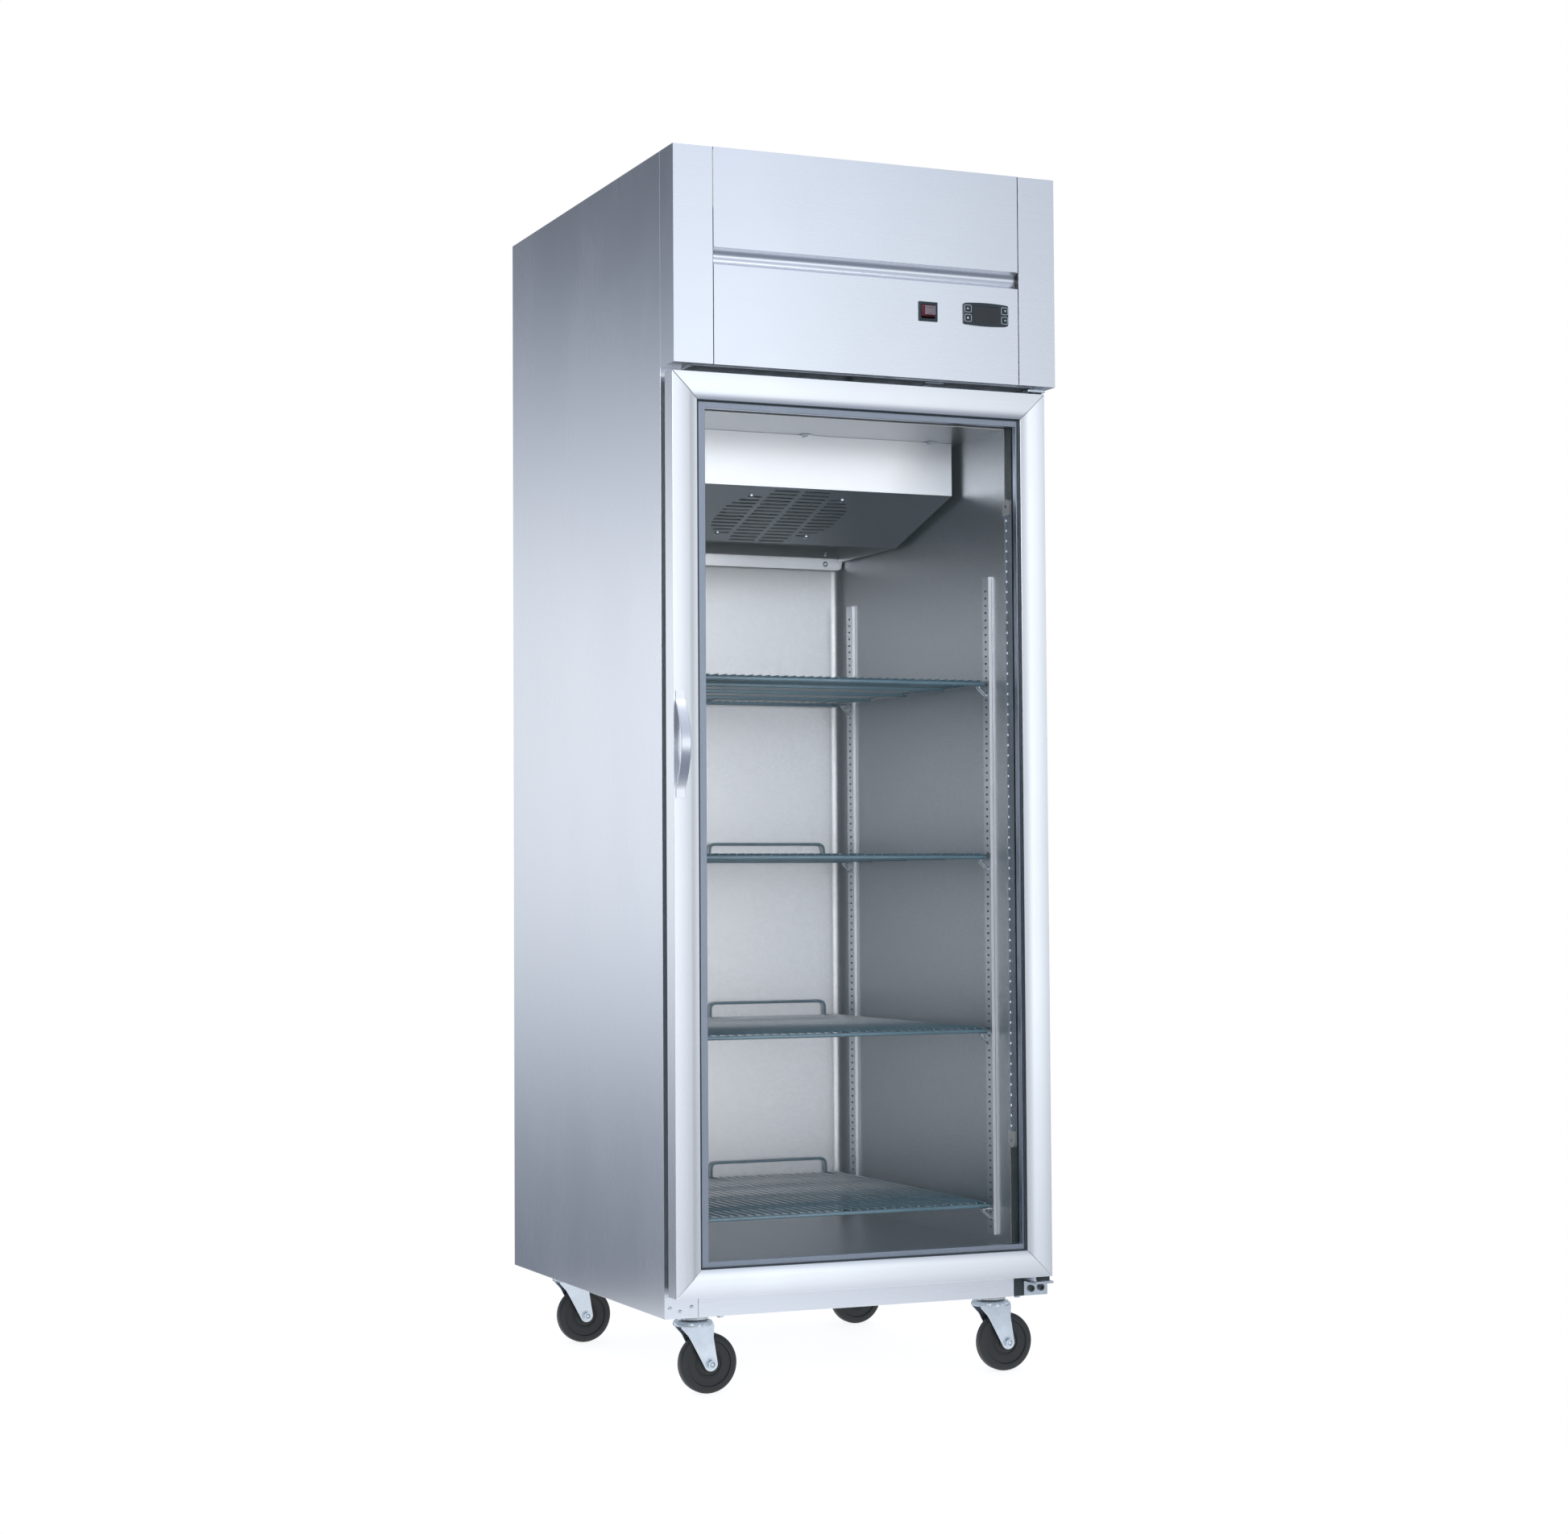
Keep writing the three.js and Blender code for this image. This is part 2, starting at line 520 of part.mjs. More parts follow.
function hingeBrackets(group) {
  const { left, right, collar, plate, arm, lowArm } = HINGE;
  const leaf = (x0, z0, z1) => box(x0, HALF_WIDTH - GAP, -plate - GAP, -GAP, z0, z1);
  const ledge = (z) => box(left, right, PIVOT.y - collar - 3, -GAP, z, z + arm);
  const round = (radius, z0, z1) => prism('z', disc(PIVOT.x, PIVOT.y, radius, 12), z0, z1);
  const bite = 1; // overlap of the pieces welded into one bracket
  const onLow = lowArm + arm - bite;
  group.add(part('lower_hinge_bracket', ZINC, join(
    leaf(left, BOTTOM + GAP, lowArm + bite), ledge(lowArm),
    round(collar, onLow, DOOR.bottom - 1),
    round(PIVOT.pin, onLow, DOOR.bottom + PIVOT.pinDepth))));
  const highArm = DOOR.top + arm;
  const upperLeaf = { left: 327, drop: 30 }; // narrower, clear of the breaker frame
  group.add(part('upper_hinge_bracket', ZINC, join(
    leaf(upperLeaf.left, DOOR.top - upperLeaf.drop, highArm + bite), ledge(highArm),
    round(collar, DOOR.top + 1, highArm + bite),
    round(PIVOT.pin, DOOR.top - PIVOT.pinDepth, highArm + bite))));
}

// --------------------------------------------------------- chamber contents

function pilasters(group) {
  const face = CHAMBER_HALF - GAP;
  const channel = (y0, y1) => [
    [face, y0], [face, y0 + SHEET], [face - PILASTER.depth + SHEET, y0 + SHEET],
    [face - PILASTER.depth + SHEET, y1 - SHEET], [face, y1 - SHEET], [face, y1],
    [face - PILASTER.depth, y1], [face - PILASTER.depth, y0],
  ];
  for (const [place, [y0, y1]] of [['front', PILASTER.front], ['rear', PILASTER.rear]]) {
    const outline = channel(y0, y1);
    const { bottom, top } = PILASTER;
    group.add(part(`pilaster_${place}_right`, ZINC, prism('z', outline, bottom, top)));
    group.add(part(`pilaster_${place}_left`, ZINC, prism('z', mirrored(outline), bottom, top)));
  }
}

// Wire shelf with its wire tops at z = 0: a grid of front-to-back wires, cross
// bars hung between the two outer wires, and two low back-stop hoops.
function shelfGeometry() {
  const half = SHELF_HALF - SHELF_OVERHANG;
  const front = SHELF_FRONT - SHELF_WIRE;
  const back = SHELF_BACK + SHELF_WIRE;
  const pitch = (2 * half) / SHELF_SLOTS;
  const slots = Array.from({ length: SHELF_SLOTS }, (_, i) => {
    const left = -half + pitch * i + SHELF_WIRE / 2;
    return box(left, left + pitch - SHELF_WIRE, front + SHELF_WIRE, back - SHELF_WIRE,
      -2 * SHELF_WIRE, SHELF_WIRE);
  });
  const edge = half + SHELF_WIRE / 2;
  const grid = cut(box(-edge, edge, front, back, -SHELF_WIRE, 0), ...slots);
  const low = -SHELF_WIRE - SHELF_BAR;
  const runner = 2.5; // half the width of the two strips under the outer wires
  const sides = [-1, 1].map((sign) => box(sign * half - runner, sign * half + runner,
    front + 1, back - 1, low + 1, -1));
  const barPitch = (SHELF_BACK - SHELF_FRONT) / (SHELF_BARS - 1);
  const bars = Array.from({ length: SHELF_BARS }, (_, i) => {
    const y = SHELF_FRONT + barPitch * i;
    return box(-SHELF_HALF, SHELF_HALF, y - SHELF_BAR / 2, y + SHELF_BAR / 2, low, low + SHELF_BAR - 0.6);
  });
  const { inner, outer, height, radius, wire } = HOOP;
  const loop = (grow) => [
    [inner - grow, low + 2],
    ...arc(inner + radius, height - radius - wire / 2, radius + grow, 180, 90, 4),
    ...arc(outer - radius, height - radius - wire / 2, radius + grow, 90, 0, 4),
    [outer + grow, low + 2],
  ];
  const hoopOutline = [...loop(wire / 2), ...loop(-wire / 2).reverse()];
  const y0 = SHELF_BACK - wire / 2;
  const hoops = [hoopOutline, mirrored(hoopOutline)].map((o) => prism('y', o, y0, y0 + wire));
  return join(grid, ...sides, ...bars, ...hoops);
}

function shelves(group) {
  const geometry = shelfGeometry();
  SHELF_LEVELS.forEach((level, i) => {
    const shelf = part(`shelf_${i + 1}`, COATED_WIRE, geometry);
    shelf.position.z = level;
    group.add(shelf);
  });
}

function lamp(group) {
  const { x, front, back, bottom, top, cap, base, depth } = LAMP;
  const radius = (back - front) / 2;
  const middle = (front + back) / 2;
  const lowRound = arc(middle, bottom + radius, radius, 180, 360, 8);
  const highRound = arc(middle, top - radius, radius, 0, 180, 8);
  const low = [...lowRound, [back, bottom + cap], [front, bottom + cap]];
  const high = [...highRound, [front, top - cap], [back, top - cap]];
  const side = 1.5; // of the base strip, showing on either side of the diffuser
  group.add(part('lamp_housing', WHITE_PLASTIC, join(
    box(x - base, x, front, back, bottom + cap / 4, top - cap / 4),
    prism('x', low, x - depth, x), prism('x', high, x - depth, x))));
  group.add(part('lamp_diffuser', DIFFUSER,
    box(x - depth + 1, x - base - GAP, front + side, back - side, bottom + cap + GAP, top - cap - GAP)));
}

// ------------------------------------------------------------------ evaporator

const slopeAngle = Math.atan2(EVAP.knee - EVAP.low, EVAP.slopeEnd - EVAP.front);
const slopeHeight = (y) => EVAP.knee - (y - EVAP.front) * Math.tan(slopeAngle);

// Puts something built around the origin, +Z up, onto the sloped underside.
function ontoSlope(mesh, lift) {
  mesh.position.set(0, GRILLE.y + lift * Math.sin(slopeAngle),
    slopeHeight(GRILLE.y) + lift * Math.cos(slopeAngle));
  mesh.rotation.x = -slopeAngle;
  return mesh;
}

function evaporator(group) {
  const { half, front, back, top, knee, low, slopeEnd } = EVAP;
  const t = EVAP_SHEET;
  const outer = [[front, top], [front, knee], [slopeEnd, low], [back, low], [back, top]];
  const inner = [
    [front + t, top + 1], [front + t, slopeHeight(front + t) + t], [slopeEnd, low + t],
    [slopeEnd, low - 1], [back + 1, low - 1], [back + 1, top + 1],
  ];
  const { radius, pitch, slot, rib, squash } = GRILLE;
  const rows = Math.floor((2 * radius) / pitch);
  const slots = [];
  for (let i = 0; i < rows; i += 1) {
    const across = (i - (rows - 1) / 2) * pitch;
    const along = across * squash;
    const reach = Math.sqrt(radius ** 2 - across ** 2);
    for (const [x0, x1] of [[-reach, -rib], [rib, reach]]) {
      slots.push(box(x0, x1, along - slot / 2, along + slot / 2, -2 * t, 4 * t)
        .rotateX(-slopeAngle).translate(0, GRILLE.y, slopeHeight(GRILLE.y)));
    }
  }
  group.add(part('evaporator_housing', LINER_STEEL, cut(
    prism('x', outer, -half, half), prism('x', inner, -half + t, half - t), ...slots)));

  group.add(ontoSlope(part('evaporator_fan_blade', DARK_PLASTIC, rotor(EVAP_FAN)), EVAP_FAN.standoff));
  const m = EVAP_MOTOR;
  const motorTop = MOTOR_CLEARANCE + m.length;
  const motor = join(
    prism('z', disc(0, 0, SHAFT, 10), HUB_CLEARANCE, MOTOR_CLEARANCE + 1),
    prism('z', disc(0, 0, m.radius, 20), MOTOR_CLEARANCE, motorTop),
    box(-m.strapHalf, m.strapHalf, -m.strapWidth / 2, m.strapWidth / 2,
      motorTop + 1 - m.strapThick, motorTop + 1));
  group.add(ontoSlope(part('evaporator_fan_motor', BLACK_METAL, motor), EVAP_FAN.standoff));

  const c = EVAP_COIL;
  const endPlate = (x0, x1) => box(x0, x1, c.front - c.margin, c.back + c.margin,
    c.bottom - c.margin, c.top + c.margin);
  group.add(part('evaporator_coil', FIN_METAL, join(
    box(-c.half, c.half, c.front, c.back, c.bottom, c.top),
    endPlate(-c.half - c.plate, -c.half), endPlate(c.half, c.half + c.plate))));

  const r = REAR_RAIL;
  const bend = (r.bottom + r.top) / 2;
  const lean = 4; // the two faces of the rail slope back from the bend
  const sheet = 2;
  const rail = [
    [r.back, r.top], [r.front + lean, r.top], [r.front, bend], [r.front + lean, r.bottom],
    [r.front + lean + sheet, r.bottom], [r.front + sheet, bend],
    [r.front + lean + sheet, r.top - sheet], [r.back, r.top - sheet],
  ];
  group.add(part('evaporator_rear_rail', LINER_STEEL, prism('x', rail, -r.half, r.half)));
}

// ------------------------------------------------------------- condensing unit

function condensingUnit(group) {
  const deck = HEADER_BOTTOM + GAP;
  const { x, y, radius, height } = COMPRESSOR;
  const base = COMPRESSOR_BASE;
  const seam = 0.45 * height; // the two half shells meet in a small welded lip
  const shell = [
    [0, base.bottom], [radius - 8, base.bottom], [radius, seam - 6], [radius + 3, seam],
    [radius, seam + 8], [radius - 3, 0.8 * height], [radius - 22, height - 6], [0, height],
  ];
  const dome = new THREE.LatheGeometry(vectors(shell), 18).rotateX(Math.PI / 2);
  const feet = [-base.footX, base.footX].flatMap((fx) => [-base.footY, base.footY]
    .map((fy) => prism('z', disc(fx, fy, base.foot, 8), 0, base.bottom + 2)));
  const plate = box(-base.halfX, base.halfX, -base.halfY, base.halfY, base.bottom, base.top);
  const compressor = part('compressor', BLACK_METAL, join(dome, plate, ...feet));
  compressor.position.set(x, y, deck);
  group.add(compressor);

  const c = CONDENSER;
  const { thick, margin } = CONDENSER_PLATE;
  const endPlate = (x0) => box(x0, x0 + thick, c.y0, c.y1, deck, c.z1 + margin);
  group.add(part('condenser_coil', FIN_METAL, join(
    box(c.x0 + thick - 1, c.x1 - thick + 1, c.y0 + margin, c.y1 - margin, c.z0, c.z1),
    endPlate(c.x0), endPlate(c.x1 - thick))));

  const centre = { x: (c.x0 + c.x1) / 2, z: (c.z0 + c.z1) / 2 };
  const shroudFront = c.y1 + GAP;
  const shroudBack = shroudFront + SHROUD_DEPTH;
  const tipGap = 8;
  const throatWall = 4;
  const mouth = disc(centre.x, centre.z, CONDENSER_FAN.radius + tipGap, 20);
  const fanY = shroudBack + 4;
  const motorFront = fanY + MOTOR_CLEARANCE;
  const throat = CONDENSER_FAN.radius + tipGap + throatWall;
  const m = CONDENSER_MOTOR;
  const round = (size, y0, y1, holes = []) =>
    prism('y', disc(centre.x, centre.z, size, 20), y0, y1, holes);
  group.add(part('condenser_fan_motor_and_shroud', BLACK_METAL, join(
    prism('y', rectangle(c.x0, c.x1, c.z0, c.z1), shroudBack - SHEET, shroudBack, [mouth]),
    prism('y', rectangle(c.x0, c.x1, c.z0, c.z1), shroudFront, shroudBack,
      [rectangle(c.x0 + SHEET, c.x1 - SHEET, c.z0 + SHEET, c.z1 - SHEET)]),
    round(throat, shroudBack - 1, motorFront + 2, [mouth]),
    round(SHAFT, fanY + HUB_CLEARANCE, motorFront + 1),
    round(m.radius, motorFront, motorFront + m.length),
    box(centre.x - throat + 1, centre.x + throat - 1, motorFront, motorFront + m.strapThick,
      centre.z - m.strapWidth / 2, centre.z + m.strapWidth / 2))));

  const blade = part('condenser_fan_blade', ALUMINIUM, rotor(CONDENSER_FAN));
  blade.position.set(centre.x, fanY, centre.z);
  blade.rotation.x = -Math.PI / 2;
  group.add(blade);

  const b = CONTROL_BOX;
  const gland = disc((b.x0 + b.x1) / 2, deck + b.height / 2, CABLE_GLAND.radius, 12);
  group.add(part('control_box', GALVANISED, join(
    box(b.x0, b.x1, b.y0, b.y1, deck, deck + b.height),
    prism('y', gland, b.y1 - 1, b.y1 + CABLE_GLAND.length))));
}

// --------------------------------------------------------------------- casters

function forkGeometry() {
  const { crown, leg, inside, radius, crownTop, crownThick, toe } = FORK;
  const axle = CASTER.trail;
  const low = crownTop - crownThick;
  const legTop = low + 2; // bites into the crown
  const heel = axle + radius - leg;
  const outside = inside + leg;
  const legOutline = [
    [-toe, legTop], [-toe, low - 4], [axle - radius * 0.85, WHEEL.radius - radius * 0.5],
    ...arc(axle, WHEEL.radius, radius, 225, 360, 5), [heel, legTop],
  ];
  const legs = [-outside, inside].map((y) => prism('y', legOutline, y, y + leg));
  const axleEnd = outside + AXLE.proud;
  const pin = prism('y', disc(axle, WHEEL.radius, AXLE.radius, 8), -axleEnd, axleEnd);
  return join(
    prism('z', disc(0, 0, crown, 16), low, crownTop),
    box(0, heel, -outside, outside, low, low + leg),
    ...legs, pin);
}

function wheelGeometry() {
  const { radius, halfWidth, sides, hub, hubProud, dish, bore } = WHEEL;
  const rim = radius / Math.cos(Math.PI / sides);
  const half = [[bore, halfWidth + hubProud], [hub, halfWidth + hubProud], [hub, halfWidth - dish],
    [rim - 3 * dish, halfWidth], [rim - dish, halfWidth], [rim, halfWidth - dish - 1]];
  const other = half.map(([r, h]) => [r, -h]).reverse();
  const profile = vectors([...half, ...other, half[0]].reverse());
  return new THREE.LatheGeometry(profile, sides, Math.PI / sides);
}

function casters(group) {
  const fork = forkGeometry();
  const wheel = wheelGeometry();
  const corners = [['front_left', -1, CASTER.frontY], ['front_right', 1, CASTER.frontY],
    ['rear_left', -1, CASTER.rearY], ['rear_right', 1, CASTER.rearY]];
  for (const [place, side, y] of corners) {
    const swivel = new THREE.Group();
    swivel.position.set(side * CASTER.x, y, 0);
    swivel.add(part(`caster_fork_${place}`, ZINC, fork));
    const rolling = part(`caster_wheel_${place}`, RUBBER, wheel);
    rolling.position.set(CASTER.trail, 0, WHEEL.radius);
    swivel.add(rolling);
    group.add(swivel);
  }
}

// -------------------------------------------------------------------- assembly

const refrigerator = new THREE.Group();
refrigerator.position.y = -ORIGIN_Y;
const assemblies = [
  cabinetShell, insulation, header, servicePanel, hingeBrackets, doorFrame, glazing, doorHandle,
  pilasters, shelves, lamp, evaporator, condensingUnit, casters,
];
assemblies.forEach((assemble) => assemble(refrigerator));

export default refrigerator;
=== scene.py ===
"""The looks of a one-section glass-door reach-in refrigerator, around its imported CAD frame.

Everything is in metres in the CAD's own frame: +X right, +Y back, +Z up, floor at z = 0.
Flat sheet-metal nodes keep their CAD meshes and get materials and eased edges. Wire, sweeps,
pressings, finned coils and small hardware are built here and ride on the CAD bodies.
"""
import json
import math

import bmesh
import bpy
from mathutils import Matrix, Vector


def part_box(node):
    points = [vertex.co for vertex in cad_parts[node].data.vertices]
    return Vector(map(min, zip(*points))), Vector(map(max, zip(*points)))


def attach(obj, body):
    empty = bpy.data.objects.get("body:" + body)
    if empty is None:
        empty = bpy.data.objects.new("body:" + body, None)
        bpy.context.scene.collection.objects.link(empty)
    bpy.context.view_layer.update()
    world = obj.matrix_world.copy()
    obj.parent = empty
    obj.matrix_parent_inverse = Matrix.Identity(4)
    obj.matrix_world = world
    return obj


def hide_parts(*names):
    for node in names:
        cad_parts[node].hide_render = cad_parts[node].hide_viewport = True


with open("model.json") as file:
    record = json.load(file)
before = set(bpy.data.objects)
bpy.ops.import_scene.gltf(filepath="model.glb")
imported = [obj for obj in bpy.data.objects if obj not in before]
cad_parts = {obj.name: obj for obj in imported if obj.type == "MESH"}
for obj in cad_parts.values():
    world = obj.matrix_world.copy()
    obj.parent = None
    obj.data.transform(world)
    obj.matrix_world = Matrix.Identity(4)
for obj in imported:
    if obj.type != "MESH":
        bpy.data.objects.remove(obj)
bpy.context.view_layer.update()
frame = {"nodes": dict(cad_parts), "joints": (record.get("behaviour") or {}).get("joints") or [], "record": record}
MM = 0.001
X, Y, Z = Vector((1, 0, 0)), Vector((0, 1, 0)), Vector((0, 0, 1))
CORNERS = [f"{depth}_{side}" for depth in ("front", "rear") for side in ("left", "right")]
LEFT_RIGHT = (-1, 1)
FOUR_WAYS = [(sx, sy) for sx in LEFT_RIGHT for sy in LEFT_RIGHT]


# ---- materials

def add_node(tree, kind, settings=None, **inputs):
    """A node with its settings made, then its inputs set, or linked if given a socket."""
    node = tree.nodes.new(kind)
    for name, value in (settings or {}).items():
        setattr(node, name, value)
    for name, value in inputs.items():
        socket = node.inputs[name.replace("_", " ")]
        if isinstance(value, bpy.types.NodeSocket):
            tree.links.new(value, socket)
        else:
            socket.default_value = value
    return node


NOISE_SPAN = {"From_Min": 0.3, "From_Max": 0.7}  # where nearly all of a noise's values lie


class Look:
    """A Principled material with procedural detail in the object's own coordinates."""

    def __init__(self, name, color, roughness, metallic=0.0, **sockets):
        self.material = bpy.data.materials.new(name)
        self.material.use_nodes = True
        self.tree = self.material.node_tree
        self.shader = self.tree.nodes["Principled BSDF"]
        self.color = color
        self.roughness = roughness
        self.coordinates = add_node(self.tree, "ShaderNodeTexCoord").outputs["Object"]
        self.shader.inputs["Base Color"].default_value = (*color, 1)
        self.shader.inputs["Roughness"].default_value = roughness
        self.shader.inputs["Metallic"].default_value = metallic
        for socket, value in sockets.items():
            self.shader.inputs[socket.replace("_", " ")].default_value = value

    def noise(self, stretch, detail=3.0):
        """Noise whose features are 1 / stretch metres long along each axis."""
        stretched = add_node(self.tree, "ShaderNodeMapping", Vector=self.coordinates, Scale=stretch)
        return add_node(self.tree, "ShaderNodeTexNoise", Vector=stretched.outputs["Vector"],
                        Scale=1.0, Detail=detail).outputs["Fac"]

    def cells(self, size):
        """A different value in each crystal-like cell about `size` metres across."""
        cells = add_node(self.tree, "ShaderNodeTexVoronoi", Vector=self.coordinates, Scale=1 / size)
        return add_node(self.tree, "ShaderNodeSeparateColor", Color=cells.outputs["Color"]).outputs["Red"]

    def ranged(self, value, low, high):
        return add_node(self.tree, "ShaderNodeMapRange", Value=value, **NOISE_SPAN,
                        To_Min=low, To_Max=high).outputs["Result"]

    def sum(self, first, second):
        node = add_node(self.tree, "ShaderNodeMath", {"operation": "ADD"})
        for value, socket in zip((first, second), node.inputs):
            self.tree.links.new(value, socket)
        return node.outputs["Value"]

    def drive(self, socket, value):
        self.tree.links.new(value, self.shader.inputs[socket])
        return self

    def tint(self, value, dark, light):
        """Varies the base colour between two multiples of it."""
        darker = (*[c * dark for c in self.color], 1)
        lighter = (*[min(1.0, c * light) for c in self.color], 1)
        mix = add_node(self.tree, "ShaderNodeMix", {"data_type": "RGBA"}, A=darker, B=lighter,
                       Factor=self.ranged(value, 0.0, 1.0))
        return self.drive("Base Color", mix.outputs["Result"])

    def polish(self, value, spread):
        return self.drive("Roughness", self.ranged(value, self.roughness - spread, self.roughness + spread))

    def bump(self, value, height, strength=1.0):
        bump = add_node(self.tree, "ShaderNodeBump", Strength=strength, Distance=height, Height=value)
        return self.drive("Normal", bump.outputs["Normal"])


FINE = 1500  # grain lines per metre across brushed metal
LONG = 7  # and along it
GRAIN = {"x": (LONG, FINE, FINE), "z": (FINE, FINE, LONG)}
SMUDGE = (4, 4, 2.5)


def brushed(name, color, roughness, grain, contrast=0.02):
    """Brushed sheet: fine long scratches plus slow, faint handling marks."""
    look = Look(name, color, roughness, 1.0)
    lines = look.noise(GRAIN[grain], 2.0)
    clouds = look.noise(SMUDGE, 3.0)
    look.tint(lines, 1 - contrast, 1 + contrast)
    look.polish(look.sum(look.ranged(lines, -0.1, 0.1), clouds), 0.015)
    return look.bump(lines, 0.01 * MM, 0.05).material


def spangled(name, color, roughness, size, contrast=0.1, metallic=1.0):
    """Crystal-patterned sheet: cells of slightly different brightness, softly mottled."""
    look = Look(name, color, roughness, metallic)
    cells = look.cells(size)
    grain = look.noise((1 / size,) * 3, 4.0)
    look.tint(look.sum(look.ranged(cells, -0.12, 0.12), grain), 1 - contrast, 1 + contrast)
    look.polish(grain, 0.07)
    return look.bump(grain, 0.2 * MM, 0.3).material


def moulded(name, color, roughness, texture=900, contrast=0.12, **sockets):
    """Moulded or extruded plastic with a fine spark texture."""
    look = Look(name, color, roughness, **sockets)
    look.tint(look.noise((30, 30, 30)), 1 - contrast, 1 + contrast)
    grain = look.noise((texture,) * 3, 2.0)
    look.polish(grain, 0.06)
    return look.bump(grain, 0.06 * MM, 0.4).material


def plated(name, color, roughness):
    """Zinc plate: cloudy, faintly lighter and darker in turns."""
    look = Look(name, color, roughness, 1.0)
    clouds = look.noise((40, 40, 40), 3.0)
    look.tint(clouds, 0.93, 1.06)
    look.polish(look.noise((160, 160, 160)), 0.03)
    return look.bump(clouds, 0.05 * MM, 0.2).material


def painted(name, color, roughness, metallic=0.0, **sockets):
    """Sprayed or dipped coat with orange peel."""
    look = Look(name, color, roughness, metallic, **sockets)
    look.tint(look.noise((18, 18, 18)), 0.9, 1.1)
    peel = look.noise((520, 520, 520), 1.5)
    look.polish(peel, 0.05)
    return look.bump(peel, 0.08 * MM, 0.5).material


def glazing():
    look = Look("glass", (0.01, 0.03, 0.035), 0.04, Alpha=0.1)
    look.polish(look.noise((6, 6, 3)), 0.02)
    return look.bump(look.noise((2, 2, 2)), 0.2 * MM, 0.05).material


def translucent(name, color, alpha):
    look = Look(name, color, 0.3, Alpha=alpha)
    look.tint(look.noise((60, 60, 12)), 0.94, 1.06)
    return look.polish(look.noise((300, 300, 300)), 0.06).material


def glowing(name, color, strength):
    look = Look(name, color, 0.3, Emission_Strength=strength)
    look.shader.inputs["Emission Color"].default_value = (*color, 1)
    return look.tint(look.noise((400, 400, 400)), 0.95, 1.05).material


STEEL = (0.79, 0.815, 0.86)
ALUMINIUM = (0.82, 0.84, 0.87)
LOOKS = {
    "stainless": brushed("stainless_vertical", STEEL, 0.27, "z"),
    "stainless_across": brushed("stainless_horizontal", STEEL, 0.27, "x"),
    "liner_steel": spangled("stucco_liner", (0.58, 0.60, 0.63), 0.36, 0.0035, 0.06),
    "housing_steel": brushed("housing_steel", (0.66, 0.68, 0.72), 0.3, "x"),
    "pilaster_steel": brushed("pilaster_steel", (0.68, 0.70, 0.74), 0.3, "z"),
    "galvanised": spangled("galvanised", (0.56, 0.60, 0.64), 0.42, 0.014, 0.14),
    "aluminium": brushed("aluminium_upright", ALUMINIUM, 0.26, "z"),
    "aluminium_across": brushed("aluminium_level", ALUMINIUM, 0.26, "x"),
    "anodised_spacer": brushed("anodised_spacer", (0.42, 0.47, 0.56), 0.3, "z", 0.06),
    "dark_plastic": moulded("dark_plastic", (0.022, 0.036, 0.044), 0.42),
    "black_metal": painted("black_enamel", (0.03, 0.036, 0.042), 0.38, Coat_Weight=0.4),
    "foam": moulded("foam", (0.80, 0.72, 0.48), 0.9, 300),
    "rubber": moulded("rubber", (0.013, 0.016, 0.018), 0.52, 1200),
    "zinc": plated("zinc_plate", (0.60, 0.66, 0.73), 0.27),
    "white_plastic": moulded("white_plastic", (0.86, 0.88, 0.90), 0.32, contrast=0.03),
    "lamp_diffuser": translucent("lamp_diffuser", (0.62, 0.72, 0.86), 0.55),
    "coated_wire": painted("epoxy_wire", (0.13, 0.23, 0.30), 0.3, Coat_Weight=0.5),
    "red_plastic": moulded("red_rocker", (0.16, 0.035, 0.05), 0.3, contrast=0.2),
    "rocker_cap": moulded("rocker_cap", (0.23, 0.18, 0.215), 0.25, contrast=0.2),
    "fins": brushed("fin_aluminium", (0.62, 0.64, 0.66), 0.4, "z", 0.12),
    "glass": glazing(),
    "copper": plated("copper_tube", (0.72, 0.36, 0.22), 0.3),
    "led": glowing("led_die", (0.86, 0.92, 1.0), 0.9),
    "display": moulded("display_window", (0.02, 0.024, 0.030), 0.12, contrast=0.05),
    "print": moulded("light_print", (0.62, 0.68, 0.72), 0.5),
}


# ---- building shapes

def place_object(name, data):
    thing = bpy.data.objects.new(name, data)
    bpy.context.scene.collection.objects.link(thing)
    return thing


